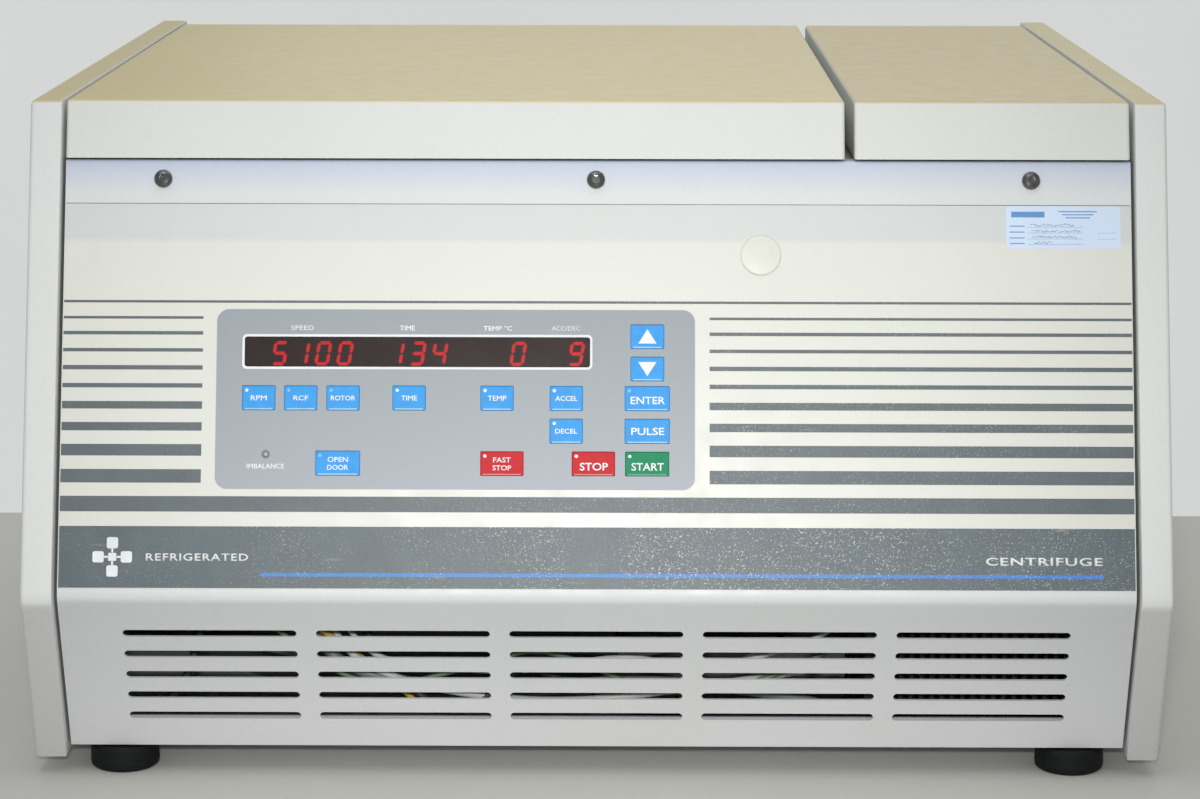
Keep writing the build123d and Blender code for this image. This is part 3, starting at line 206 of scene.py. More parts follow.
def metal(name, rgb, rough, stretch=(1, 1, 1), scale=60.0, depth=0.00003, metallic=1.0,
          stain=0.0):
    """Metal with fine streaks, squeezed along the axes where 'stretch' is large."""
    m = Mat(name)
    color = linear(*rgb)
    streak = m.noise(scale, detail=4.0, rough=0.65, stretch=stretch)
    base = m.mix(m.remap(streak, span=(0.3, 0.7)), scaled(color, 0.82), scaled(color, 1.08))
    if stain:
        base = m.mottle(base, scaled(color, 0.55), span=(0.5, 0.75), to=(0.0, stain),
                        scale=22.0, detail=4.0, rough=0.6)
    m.set(Base_Color=base, Metallic=metallic,
          Roughness=m.remap(streak, span=(0.25, 0.75), to=(rough * 0.75, rough * 1.3)))
    m.bump(streak, strength=0.3, distance=depth)
    return m


def plastic(name, rgb, rough, grain=1400.0, depth=0.00003, vary=0.06, spec=0.45, coat=0.0):
    m = Mat(name)
    color = linear(*rgb)
    m.set(Base_Color=m.mottle(scaled(color, 1 - vary), scaled(color, 1 + vary),
                              scale=30.0, detail=4.0, rough=0.6),
          Roughness=m.patches(to=(rough - 0.04, rough + 0.06), scale=120.0),
          Specular_IOR_Level=spec, Coat_Weight=coat)
    m.bump(m.noise(grain, rough=0.6), strength=0.3, distance=depth)
    return m


def ink(name, rgb, worn=(218, 217, 208), amount=1.0):
    """Printed ink with rubbed specks and scratches, densest in the middle and on the right."""
    m = Mat(name)
    color = linear(*rgb)
    across = m.ramp(m.remap(m.axis("X"), span=(-0.3, 0.3)),
                    [(0.0, 0.15), (0.3, 0.4), (0.55, 1.0), (0.72, 0.8), (1.0, 0.45)])
    speck = m.patches(span=(0.585, 0.70), scale=1250.0, rough=0.6, stretch=(0.75, 1, 1))
    patch = m.patches(span=(0.36, 0.62), to=(0.12, 1.0), scale=22.0, detail=4.0, rough=0.6)
    scratch = m.patches(span=(0.70, 0.76), scale=130.0, stretch=(0.12, 1, 1))
    rubbed = m.times(m.times(speck, patch), across)
    scratched = m.times(m.times(scratch, patch), 0.5)
    wear = m.times(m.math("MAXIMUM", rubbed, scratched), amount)
    base = m.mottle(scaled(color, 0.93), scaled(color, 1.08), scale=55.0, detail=3.0)
    m.set(Base_Color=m.mix(wear, base, linear(*worn)), Roughness=0.42, Specular_IOR_Level=0.4)
    m.bump(m.noise(scale=1300.0), strength=0.25, distance=0.00002)
    m.bump(wear, strength=0.4, distance=0.00003)
    return m


def key_film(name, rgb):
    m = Mat(name)
    color = linear(*rgb)
    base = m.mottle(scaled(color, 0.94), scaled(color, 1.07), scale=180.0, detail=3.0)
    base = m.mottle(base, (0.75, 0.82, 0.88), span=(0.66, 0.8), to=(0.0, 0.05), scale=900.0)
    m.set(Base_Color=base, Roughness=0.42, Specular_IOR_Level=0.12)
    m.bump(m.noise(scale=1500.0), strength=0.12, distance=0.00001)
    return m


def overlay_film():
    """Warm white film with handling haze and scuffs, and a painted cool shade near its upper
    edge.
    """
    m = Mat("film_print")
    color = m.mottle(linear(228, 228, 219), (0.50, 0.47, 0.36), span=(0.35, 0.7),
                     to=(0.0, 0.04), scale=9.0, detail=3.0)
    color = m.mottle(color, (0.40, 0.38, 0.33), span=(0.35, 0.7), to=(0.0, 0.045),
                     scale=1100.0, detail=1.0)
    scuffs = m.patches(span=(0.64, 0.80), scale=46.0, detail=6.0, rough=0.72,
                       stretch=(0.35, 1, 1))
    color = m.mix(m.times(scuffs, 0.16), color, (0.33, 0.31, 0.25))
    # painted cool shade along the upper edge of the film, below the door
    upper = m.remap(m.axis("Z"), span=(0.3055, 0.3085), to=(0.0, 0.6))
    color = m.mix(upper, color, linear(206, 212, 214))
    m.set(Base_Color=color, Specular_IOR_Level=0.42,
          Roughness=m.patches(to=(0.30, 0.42), scale=70.0, detail=3.0))
    m.bump(m.noise(scale=1300.0, rough=0.6), strength=0.3, distance=0.00002)
    m.bump(m.noise(scale=30.0), strength=0.08, distance=0.00005)
    return m


def keypad_film():
    """Satin grey, slightly paler towards the lower edge."""
    m = Mat("keypad_film")
    color = m.ramp(m.remap(m.axis("Z"), span=(0.165, 0.275)),
                   [(0.0, linear(172, 178, 184)), (1.0, linear(155, 163, 168))])
    color = m.mottle(color, linear(150, 156, 160), span=(0.35, 0.7), to=(0.0, 0.07),
                     scale=14.0, detail=4.0)
    color = m.mottle(color, linear(120, 124, 128), span=(0.4, 0.75), to=(0.0, 0.06),
                     scale=1500.0, detail=1.0)
    m.set(Base_Color=color, Roughness=0.42, Specular_IOR_Level=0.35)
    m.bump(m.noise(scale=1500.0, rough=0.6), strength=0.3, distance=0.00002)
    return m


def tinted_window():
    """See-through red-brown with a hazy gloss."""
    m = Mat("window_tint")
    m.set(Base_Color=linear(80, 78, 76), Roughness=0.22, Specular_IOR_Level=0.25)
    clear = m.new("BsdfTransparent", Color=(0.70, 0.30, 0.28))
    m.mix_surface(m.patches(to=(0.36, 0.42), scale=60.0, detail=3.0), clear, m.shader)
    return m


def lit_segment():
    m = Mat("digit_lit")
    glow = m.ramp(m.noise(scale=260.0), [(0.35, (1.0, 0.0, 0.05)), (0.7, (1.0, 0.004, 0.08))])
    m.set(Base_Color=(0.5, 0.02, 0.03), Roughness=0.5, Emission_Color=glow,
          Emission_Strength=3.0)
    return m


# ---------------------------------------------------------------- materials of the CAD pieces
def put(mat, *pieces):
    for piece in pieces:
        slots = nodes[piece].data.materials
        slots.clear()
        slots.append(mat.material)


# Painted light: tops that face up take a warm yellow tint from the light above; the cover's
# darker copy of it is painted shade.
WARM_TOP_LIGHT = linear(215, 198, 142)

put(paint("paint_door", linear(226, 228, 222), top=WARM_TOP_LIGHT), "door_shell")
put(paint("paint_cover", linear(224, 226, 218), top=scaled(WARM_TOP_LIGHT, 0.86)),
    "fixed_top_cover")
# Painted shadow: a cool shade on the strip under the door. Painted shade on the lower front
# that looks down, darker near the bend and lighter towards the floor.
put(paint("paint_front_sheet", linear(223, 226, 226), shade=linear(201, 209, 227),
          low=(linear(206, 208, 209), linear(222, 223, 224))), "front_panel")
# Painted light on the tops of the side mouldings, and painted shade on their faces that look
# down.
put(paint("side_moulding_grain", linear(231, 233, 230), top=linear(208, 195, 148),
          low=linear(204, 205, 204), rough=0.5, grain=700.0, depth=0.00007),
    "left_side_panel", "right_side_panel")
# Painted light on the deck's top.
put(paint("paint_deck", linear(216, 214, 202), top=linear(208, 200, 176)), "top_deck")
put(paint("paint_rear", linear(214, 212, 204)), "rear_panel")
put(paint("pan_paint", linear(204, 209, 216), rough=0.5), "base_pan")
put(paint("ring_primer", linear(86, 89, 93), rough=0.55), "barrier_ring")

mat_copper = metal("copper_tube", (190, 112, 78), rough=0.34, stain=0.35)
put(mat_copper, "evaporator_coil")
put(metal("zinc_plate", (176, 178, 178), rough=0.38, scale=45.0, stain=0.25),
    "hinge_brackets", "hinge_arms", "door_strikes", "latch_shaft", "latch_solenoid")
put(metal("stainless_spun", (196, 197, 196), rough=0.28, stretch=(1, 1, 60), scale=40.0),
    "chamber_bowl", "tiedown_screw")
put(metal("liner_brushed", (194, 196, 196), rough=0.42, stretch=(1, 40, 40), scale=24.0,
          depth=0.00001), "door_liner")
put(metal("spring_wire", (150, 150, 152), rough=0.3, stretch=(30, 1, 1)),
    "hinge_springs", "shaft_bearings", "drive_shaft", "solenoid_plunger")
put(metal("motor_cast", (150, 153, 156), rough=0.48, scale=90.0, depth=0.00012, stain=0.2),
    "motor_housing")
put(metal("rotor_anodised", (182, 185, 188), rough=0.36, scale=320.0, depth=0.00004),
    "rotor_yoke")
put(metal("condenser_enamel", (38, 39, 41), rough=0.5, scale=120.0, metallic=0.3, stain=0.2),
    "condenser")
put(metal("bucket_turned", (188, 190, 192), rough=0.30, stretch=(1, 1, 70), scale=50.0),
    "bucket_1", "bucket_2", "bucket_3", "bucket_4")
put(metal("core_laminations", (118, 118, 122), rough=0.42, stretch=(1, 1, 220), scale=30.0),
    "motor_core")
put(metal("screw_plate", (118, 118, 116), rough=0.2, scale=300.0, metallic=0.9, stain=0.3),
    "panel_screws")

put(plastic("enamel_black", (22, 22, 24), rough=0.22, coat=0.4, spec=0.5), "compressor")
put(plastic("moulding_black", (28, 28, 29), rough=0.5, grain=900.0, depth=0.00006),
    "fan_housing", "fan_blades", "power_inlet", "power_rocker")
put(plastic("foot_rubber", (13, 18, 17), rough=0.62, grain=700.0, depth=0.00008, vary=0.2,
            spec=0.25), "rubber_feet")
put(plastic("gasket_rubber", (40, 40, 42), rough=0.62, grain=600.0, depth=0.00006, vary=0.15),
    "chamber_gasket", "motor_mounts")
put(plastic("plug_moulding", (226, 227, 216), rough=0.38, vary=0.02), "access_plug")
put(plastic("board_laminate", (28, 92, 58), rough=0.35, vary=0.12),
    "display_board", "drive_board")

put(overlay_film(), "panel_overlay")
put(keypad_film(), "keypad_membrane")
put(tinted_window(), "display_window")

KEY_COLOURS = {"key_stop": "red", "key_fast_stop": "red", "key_start": "green"}  # others blue
key_face = {
    "blue": key_film("key_blue_film", (70, 164, 238)),
    "red": key_film("key_red_film", (206, 38, 46)),
    "green": key_film("key_green_film", (26, 142, 98))}
# painted highlight colours for the keys' lower edges
key_edge_highlight = {
    "blue": key_film("key_highlight_blue", (172, 214, 244)),
    "red": key_film("key_highlight_red", (226, 140, 142)),
    "green": key_film("key_highlight_green", (112, 184, 152))}
for piece in nodes:
    if piece.startswith("key_"):
        put(key_face[KEY_COLOURS.get(piece, "blue")], piece)

mat_stripe = ink("ink_stripe_grey", (94, 104, 108), amount=0.6)
mat_band = ink("ink_band_grey", (91, 103, 108), amount=1.4)
mat_blue_line = ink("ink_blue_line", (70, 132, 212), worn=(214, 226, 240), amount=1.2)
mat_white_ink = ink("ink_white", (238, 240, 240), worn=(190, 194, 196), amount=0.5)
mat_label = ink("ink_label_white", (236, 239, 240), worn=(200, 206, 210), amount=0.12)
mat_dot = ink("ink_dot_white", (240, 244, 246), amount=0.2)
mat_dot_dim = ink("ink_dot_dim", (128, 190, 232), amount=0.2)


# ---------------------------------------------------------------- mesh kit
def add_object(name, data):
    obj = bpy.data.objects.new(name, data)
    scene.collection.objects.link(obj)
    return obj


def finish_mesh(name, mesh, mat, body="chassis", smooth=False, matrix=PANEL):
    """Turn a bmesh into an object that rides on one of the bodies."""
    bmesh.ops.recalc_face_normals(mesh, faces=mesh.faces)
    data = bpy.data.meshes.new(name)
    mesh.to_mesh(data)
    mesh.free()
    data.transform(matrix)
    if smooth:
        for face in data.polygons:
            face.use_smooth = True
    data.materials.append(mat.material)
    obj = add_object(name, data)
    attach(obj, body)


def add_loop(mesh, outline, z):
    return [mesh.verts.new((x, y, z)) for x, y in outline]


def add_wall(mesh, lower, upper):
    """Quads between two closed loops."""
    for i in range(len(lower)):
        j = (i + 1) % len(lower)
        mesh.faces.new((lower[i], lower[j], upper[j], upper[i]))


def add_prism(mesh, outline, bottom, top):
    lower = add_loop(mesh, outline, bottom)
    upper = add_loop(mesh, outline, top)
    mesh.faces.new(upper)
    mesh.faces.new(lower[::-1])
    add_wall(mesh, lower, upper)


def ring_mesh(outer, inner, bottom, top):
    mesh = bmesh.new()
    outer_low = add_loop(mesh, outer, bottom)
    outer_high = add_loop(mesh, outer, top)
    inner_low = add_loop(mesh, inner, bottom)
    inner_high = add_loop(mesh, inner, top)
    for i in range(len(outer)):
        j = (i + 1) % len(outer)
        mesh.faces.new((outer_high[i], outer_high[j], inner_high[j], inner_high[i]))
        mesh.faces.new((outer_low[j], outer_low[i], inner_low[i], inner_low[j]))
        mesh.faces.new((outer_low[i], outer_low[j], outer_high[j], outer_high[i]))
        mesh.faces.new((inner_low[j], inner_low[i], inner_high[i], inner_high[j]))
    return mesh


def rect(x0, x1, y0, y1):
    return [(x0, y0), (x1, y0), (x1, y1), (x0, y1)]


def round_rect(x, y, width, height, radius, steps=6):
    outline = []
    for side_x, side_y, start in ((1, 1, 0), (-1, 1, 90), (-1, -1, 180), (1, -1, 270)):
        for i in range(steps + 1):
            angle = math.radians(start + 90.0 * i / steps)
            outline.append((x + side_x * (width / 2 - radius) + radius * math.cos(angle),
                            y + side_y * (height / 2 - radius) + radius * math.sin(angle)))
    return outline


def disc(x, y, radius, count):
    angles = [2 * math.pi * i / count for i in range(count)]
    return [(x + radius * math.cos(a), y + radius * math.sin(a)) for a in angles]


def decal(name, outlines, bottom, top, mat, body="chassis"):
    """Thin prisms on the slope, from height 'bottom' to 'top'."""
    mesh = bmesh.new()
    for outline in outlines:
        add_prism(mesh, outline, bottom, top)
    finish_mesh(name, mesh, mat, body)


def merge(mesh, other, dx, dy, dz):
    """Copy the other bmesh in, shifted, and free it."""
    copies = {}
    for vert in other.verts:
        copies[vert] = mesh.verts.new((vert.co.x + dx, vert.co.y + dy, vert.co.z + dz))
    for face in other.faces:
        mesh.faces.new([copies[vert] for vert in face.verts])
    other.free()


def text_mesh(text, cap, bold, width=None, spacing=1.0, thick=0.05):
    """Solid text, 'cap' high and 'width' wide, centred on its own box."""
    # The outline of M takes no offset, so its strokes are thickened by shifted copies.
    shifted = "M" in text
    curve = bpy.data.curves.new("glyphs", "FONT")
    curve.body = text
    curve.size = 10.0
    curve.offset = 0.0 if shifted else bold
    curve.space_character = spacing
    curve.resolution_u = 3
    obj = add_object("glyphs", curve)
    depsgraph = bpy.context.evaluated_depsgraph_get()
    flat = bpy.data.meshes.new_from_object(obj.evaluated_get(depsgraph))
    bpy.data.objects.remove(obj)
    bpy.data.curves.remove(curve)

    xs = [vert.co.x for vert in flat.vertices]
    ys = [vert.co.y for vert in flat.vertices]
    scale_y = cap / (max(ys) - min(ys))
    scale_x = scale_y
    if width:
        scale_x = width / (max(xs) - min(xs) + (2 * bold if shifted else 0))
    mid_x, mid_y = (max(xs) + min(xs)) / 2, (max(ys) + min(ys)) / 2
    for vert in flat.vertices:
        vert.co = Vector(((vert.co.x - mid_x) * scale_x, (vert.co.y - mid_y) * scale_y, 0))
    mesh = bmesh.new()
    mesh.from_mesh(flat)
    bpy.data.meshes.remove(flat)
    bmesh.ops.remove_doubles(mesh, verts=mesh.verts, dist=0.001)
    raised = bmesh.ops.extrude_face_region(mesh, geom=mesh.faces[:])["geom"]
    raised = [item for item in raised if isinstance(item, bmesh.types.BMVert)]
    bmesh.ops.translate(mesh, verts=raised, vec=(0, 0, thick))
    if not shifted:
        return mesh

    wide, shift = bmesh.new(), bold * scale_x
    offsets = ((-shift, 0), (shift, 0), (0, 0.7 * shift), (0, -0.7 * shift))
    for i, (dx, dy) in enumerate(offsets):
        merge(wide, mesh.copy(), dx, dy, 0.003 * i)
    mesh.free()
    return wide


def label(name, mesh, x, s, height, mat):
    """Place a text mesh on the slope."""
    place = PANEL @ Matrix.Translation((x, s, height))
    finish_mesh(name, mesh, mat, matrix=place)


# ---------------------------------------------------------------- print on the overlay film
FILM = 0.4  # height of the film's face
PRINT = FILM + 0.05  # height of the first layer of ink
EDGE = 304.35  # half width of the print
# (lower s, upper s) of the rules, which get wider down the slope
RULES = [(161.6, 163.1), (152.5, 154.5), (142.7, 144.7), (132.4, 134.9), (122.1, 124.6),
         (110.0, 114.3), (97.5, 102.3), (83.2, 89.8), (67.8, 75.5)]

decal("printed_rules_full", [rect(-EDGE, EDGE, 170.9, 172.3), rect(-EDGE, EDGE, 51.4, 60.2)],
      FILM, PRINT, mat_stripe)
for side, x0, x1 in (("left", -EDGE, -224.6), ("right", 64.0, EDGE)):
    decal("printed_rules_" + side, [rect(x0, x1, *rule) for rule in RULES],
          FILM, PRINT, mat_stripe)
decal("printed_band", [rect(-EDGE, EDGE, 8.1, 43.1)], FILM, PRINT, mat_band)
decal("printed_blue_line", [rect(-190.0, 286.5, 14.8, 16.8)], PRINT, PRINT + 0.03,
      mat_blue_line)
decal("film_edge_line", [rect(-EDGE, EDGE, 228.05, 228.45)], FILM, FILM + 0.03,
      mat_stripe)

label("printed_word_right",
      text_mesh("CENTRIFUGE", width=66.0, cap=4.6, bold=0.18, spacing=1.1),
      253.0, 24.4, PRINT, mat_white_ink)
label("printed_word_left",
      text_mesh("REFRIGERATED", width=58.0, cap=4.2, bold=0.14, spacing=1.1),
      -226.0, 25.6, PRINT, mat_white_ink)

# pictogram: four squares joined to a small one in the middle
PICTO_X, PICTO_S, PICTO_PITCH = -274.0, 25.6, 8.0
shapes = [round_rect(PICTO_X, PICTO_S, 4.6, 4.6, 0.6)]
for ux, us in ((1, 0), (-1, 0), (0, 1), (0, -1)):
    dx, ds = ux * PICTO_PITCH, us * PICTO_PITCH
    shapes.append(round_rect(PICTO_X + dx, PICTO_S + ds, 6.4, 6.4, 1.2))
    shapes.append(round_rect(PICTO_X + dx * 0.47, PICTO_S + ds * 0.47,
                             2.6 if ux else 1.2, 2.6 if us else 1.2, 0.3))
decal("printed_pictogram", shapes, PRINT, PRINT + 0.05, mat_white_ink)

# ---------------------------------------------------------------- print on the keypad
PAD = 0.5  # height of the keypad's face
LAMP_X, LAMP_S = -188.0, 84.2  # imbalance lamp

finish_mesh("display_outline",
            ring_mesh(round_rect(-102.4, 142.9, 199.4, 20.0, 2.6, 8),
                      round_rect(-102.4, 142.9, 196.9, 17.3, 1.7, 8), PAD, PAD + 0.05),
            mat_label)
# tag, word, x, s, width
for tag, word, x, s, width in (
        ("speed", "SPEED", -168.0, 156.6, 13.0),
        ("time", "TIME", -108.2, 156.6, 8.6),
        ("temp", "TEMP °C", -56.6, 156.6, 16.4),
        ("accel", "ACC/DEC", -17.8, 156.6, 16.4),
        ("imbalance", "IMBALANCE", LAMP_X, 77.4, 21.4)):
    label("printed_" + tag, text_mesh(word, width=width, cap=2.7, bold=0.14),
          x, s, PAD, mat_label)

# name, x, s, width, height, ink of the corner dot, [(word, width, cap height, rise)]
KEYS = [
    ("key_rpm", -192.4, 116.4, 18.5, 13.8, mat_dot, [("RPM", 9.2, 2.8, 0)]),
    ("key_rcf", -168.5, 116.4, 18.5, 13.8, mat_dot_dim, [("RCF", 8.4, 2.8, 0)]),
    ("key_rotor", -144.4, 116.4, 18.5, 13.8, mat_dot_dim, [("ROTOR", 14.0, 2.8, 0)]),
    ("key_time", -106.8, 116.5, 18.5, 13.8, mat_dot, [("TIME", 9.0, 2.8, 0)]),
    ("key_temp", -56.8, 116.5, 18.5, 13.8, mat_dot, [("TEMP", 10.6, 2.8, 0)]),
    ("key_accel", -17.4, 116.5, 18.5, 13.8, mat_dot, [("ACCEL", 12.6, 2.8, 0)]),
    ("key_decel", -17.4, 97.8, 18.5, 13.8, mat_dot, [("DECEL", 12.6, 2.8, 0)]),
    ("key_open_door", -147.0, 79.2, 25.0, 13.8, mat_dot_dim,
     [("OPEN", 11.6, 2.9, 2.1), ("DOOR", 12.0, 2.9, -2.4)]),
    ("key_fast_stop", -53.8, 79.2, 24.2, 13.6, mat_dot,
     [("FAST", 10.0, 2.9, 2.1), ("STOP", 10.6, 2.9, -2.4)]),
    ("key_stop", -1.9, 79.2, 24.2, 13.6, mat_dot, [("STOP", 16.0, 4.4, -1.6)]),
    ("key_start", 28.6, 79.2, 24.6, 13.6, mat_dot, [("START", 18.4, 4.4, -1.6)]),
    ("key_pulse", 28.6, 97.8, 25.2, 13.8, None, [("PULSE", 18.8, 4.2, 0)]),
    ("key_enter", 28.6, 116.5, 25.2, 13.8, mat_dot_dim, [("ENTER", 19.6, 4.2, -1.0)]),
    ("key_down", 28.6, 133.5, 18.8, 13.6, None, []),
    ("key_up", 28.6, 152.0, 18.8, 13.6, None, [])]
# arrow corners about the key's centre
ARROWS = {"key_up": [(-5.2, -3.9), (5.2, -3.9), (0, 4.3)],
          "key_down": [(5.2, 4.0), (-5.2, 4.0), (0, -4.2)]}
CAP = 0.30  # height of a key's face
LARGE_CAP = 4  # larger letters are bolder and sit a little to the right

for key, x, s, width, height, dot, legend in KEYS:
    mesh = bmesh.new()
    for word, word_width, cap, rise in legend:
        bold, shift = (0.13, 0.3) if cap > LARGE_CAP else (0.12, 0)
        merge(mesh, text_mesh(word, width=word_width, cap=cap, bold=bold),
              x + shift, s + rise, CAP)
    if key in ARROWS:
        add_prism(mesh, [(x + dx, s + ds) for dx, ds in ARROWS[key]], CAP, CAP + 0.05)
    finish_mesh("print_" + key, mesh, mat_label, key)
    # painted highlight: a pale line along the lower edge, where the key's lip catches the light
    low_edge = s - height / 2
    decal("edge_" + key,
          [rect(x - width / 2 + 1.3, x + width / 2 - 1.3, low_edge + 0.30, low_edge + 1.0)],
          CAP, CAP + 0.03, key_edge_highlight[KEY_COLOURS.get(key, "blue")], key)
    if dot:
        decal("lamp_" + key, [disc(x - width / 2 + 2.4, s + height / 2 - 2.5, 0.95, 16)],
              CAP, CAP + 0.12, dot, key)

# imbalance lamp: a printed ring around a dull lens
finish_mesh("lamp_ring",
            ring_mesh(disc(LAMP_X, LAMP_S, 2.5, 32), disc(LAMP_X, LAMP_S, 1.75, 32),
                      PAD, PAD + 0.05),
            plastic("lamp_ring_ink", (134, 136, 142), rough=0.5))
# (radius, height) of the lens, from its foot to its crown
LENS = [(1.5, 0.30), (1.5, 0.55), (1.3, 0.82), (0.9, 1.0), (0.45, 1.08)]
mesh = bmesh.new()
loops = [add_loop(mesh, disc(LAMP_X, LAMP_S, radius, 20), z) for radius, z in LENS]
for lower, upper in zip(loops, loops[1:]):
    add_wall(mesh, lower, upper)
mesh.faces.new(loops[-1])
mesh.faces.new(loops[0][::-1])
finish_mesh("lamp_lens", mesh, plastic("lamp_lens_grey", (172, 172, 176), rough=0.25, spec=0.6),
            smooth=True)

# ---------------------------------------------------------------- seven-segment digits
# Segments: a top, b and c right, d bottom, e and f left, g middle.
SHOWN = {"0": "abcdef", "1": "bc", "3": "abgcd", "4": "fgbc", "5": "afgcd", "9": "abcdfg"}
DIGIT_W, DIGIT_H, DIGIT_S = 6.5, 12.1, 142.3
STROKE, GAP, SLANT = 1.9, 0.14, 0.16  # width, clearance at the ends, x per unit of height
DIGIT_PITCH, FACE_HALF = 12.4, 6.0
FACE_LOW, FACE_HIGH = 134.9, 150.9
# x of the first place, and the characters shown
GROUPS = [(-193.4, " 5100"), (-127.1, " 134"), (-57.4, " 0"), (-24.3, " 9")]


def bar(start, end):
    """A segment between two points, pointed at both ends."""
    dx, dy = end[0] - start[0], end[1] - start[1]
    length = math.hypot(dx, dy)
    half = STROKE / 2
    ax, ay = dx / length * half, dy / length * half
    px, py = -ay, ax
    return [(start[0] + ax - px, start[1] + ay - py), (end[0] - ax - px, end[1] - ay - py),
            end, (end[0] - ax + px, end[1] - ay + py),
            (start[0] + ax + px, start[1] + ay + py), start]


def digit(character, centre):
    left, right, base, top = -DIGIT_W / 2, DIGIT_W / 2, -DIGIT_H / 2, DIGIT_H / 2
    ends = {
        "a": ((left + GAP, top), (right - GAP, top)),
        "b": ((right, top - GAP), (right, GAP)),
        "c": ((right, -GAP), (right, base + GAP)),
        "d": ((left + GAP, base), (right - GAP, base)),
        "e": ((left, -GAP), (left, base + GAP)),
        "f": ((left, top - GAP), (left, GAP)),
        "g": ((left + GAP, 0.0), (right - GAP, 0.0))}
    return [[(centre + x + SLANT * y, DIGIT_S + y) for x, y in bar(*ends[segment])]
            for segment in SHOWN[character]]


lit, faces = [], []
for first, characters in GROUPS:
    for i, character in enumerate(characters):
        x = first + DIGIT_PITCH * i
        faces.append(rect(x - FACE_HALF, x + FACE_HALF, FACE_LOW, FACE_HIGH))
        if character != " ":
            lit += digit(character, x)
decal("display_backing", [rect(-200.0, -4.6, FACE_LOW, FACE_HIGH)], -2.38, -2.34,
      plastic("window_backing", (46, 40, 38), rough=0.55, vary=0.1))
decal("digit_module_faces", faces, -2.34, -2.30,
      plastic("digit_module_face", (74, 62, 58), rough=0.5, vary=0.1))
decal("digits_lit", lit, -2.30, -2.22, lit_segment())

# ---------------------------------------------------------------- service sticker
LEFT, RIGHT, LOW, HIGH = 233.4, 298.7, 203.3, 227.7
LINES = (215.6, 212.2, 208.8, 205.6)  # s of the ruled lines
PAPER = FILM + 0.12

decal("service_sticker",
      [round_rect((LEFT + RIGHT) / 2, (LOW + HIGH) / 2, RIGHT - LEFT, HIGH - LOW, 1.6)],
      FILM, PAPER, plastic("sticker_paper", (214, 230, 250), rough=0.35, vary=0.02))
marks = [rect(LEFT + 12, LEFT + 44, y, y + 0.18) for y in LINES]
marks += [rect(LEFT + 52, RIGHT - 2.5, y, y + 0.18) for y in LINES[1:3]]
marks += [rect(LEFT + 2, LEFT + 10.5, y + 0.3, y + 0.9) for y in LINES]
marks += [rect(LEFT + x0, LEFT + x1, y0, y1) for x0, x1, y0, y1 in (
    (3, 22, 221.3, 224.6), (30, 52, 224.4, 225.0), (32, 50, 222.6, 223.2),
    (34, 48, 220.8, 221.4))]
decal("sticker_print", marks, PAPER, PAPER + 0.03,
      plastic("sticker_ink_blue", (96, 150, 205), rough=0.5, vary=0.05))

# scribbled lines: s, start and end from the left edge
strokes = []
pen_random = random.Random(5)
for y, start, end in ((216.6, 14, 38), (213.1, 15, 42), (209.7, 15, 40), (206.5, 16, 26)):
    x = LEFT + start
    while x < LEFT + end:
        step = pen_random.uniform(0.5, 1.4)
        y0 = y + pen_random.uniform(-0.7, 0.9)
        y1 = y + pen_random.uniform(-0.7, 0.9)
        strokes.append([(x, y0), (x + step, y1), (x + step, y1 + 0.28), (x, y0 + 0.28)])
        x += step * pen_random.choice((0.9, 1.0, 1.5))
decal("sticker_pen_marks", strokes, PAPER + 0.03, PAPER + 0.06,
      plastic("sticker_pen", (58, 62, 86), rough=0.5, vary=0.1))

# ---------------------------------------------------------------- cables and pipes
TUBE_SIDES, TUBE_STEPS = 10, 6  # around the tube, and between two points


def tube(name, radius, mat, points):
    """A round tube through the points, smoothed with Catmull-Rom."""
    knots = [Vector(point) for point in points]
    knots = [knots[0] * 2 - knots[1], *knots, knots[-1] * 2 - knots[-2]]
    path = []
    for p0, p1, p2, p3 in zip(knots, knots[1:], knots[2:], knots[3:]):
        for k in range(TUBE_STEPS):
            t = k / TUBE_STEPS
            path.append(0.5 * ((2 * p1) + (p2 - p0) * t
                               + (2 * p0 - 5 * p1 + 4 * p2 - p3) * t * t
                               + (3 * p1 - p0 - 3 * p2 + p3) * t ** 3))
    path.append(knots[-2])

    mesh = bmesh.new()
    rings = []
    up = Vector((0, 0, 1))
    for i, centre in enumerate(path):
        ahead = (path[min(i + 1, len(path) - 1)] - path[max(i - 1, 0)]).normalized()
        side = ahead.cross(up)
        if side.length < 1e-3:
            side = ahead.cross(Vector((0, 1, 0)))
        side.normalize()
        up = side.cross(ahead).normalized()
        angles = [2 * math.pi * k / TUBE_SIDES for k in range(TUBE_SIDES)]
        rings.append([mesh.verts.new(centre + (side * math.cos(a) + up * math.sin(a)) * radius)
                      for a in angles])
    for lower, upper in zip(rings, rings[1:]):
        add_wall(mesh, lower, upper)
    mesh.faces.new(rings[0][::-1])
    mesh.faces.new(rings[-1])
    finish_mesh(name, mesh, mat, smooth=True, matrix=TO_METRES)


cable_white = plastic("cable_white", (206, 208, 204), rough=0.45, vary=0.05)
cable_grey = plastic("cable_grey", (120, 124, 128), rough=0.45, vary=0.08)
cable_green = plastic("cable_green", (104, 128, 96), rough=0.45, vary=0.08)
cable_yellow = plastic("cable_yellow", (205, 176, 60), rough=0.45, vary=0.08)
cable_dark = plastic("cable_dark", (38, 40, 44), rough=0.5, vary=0.1)
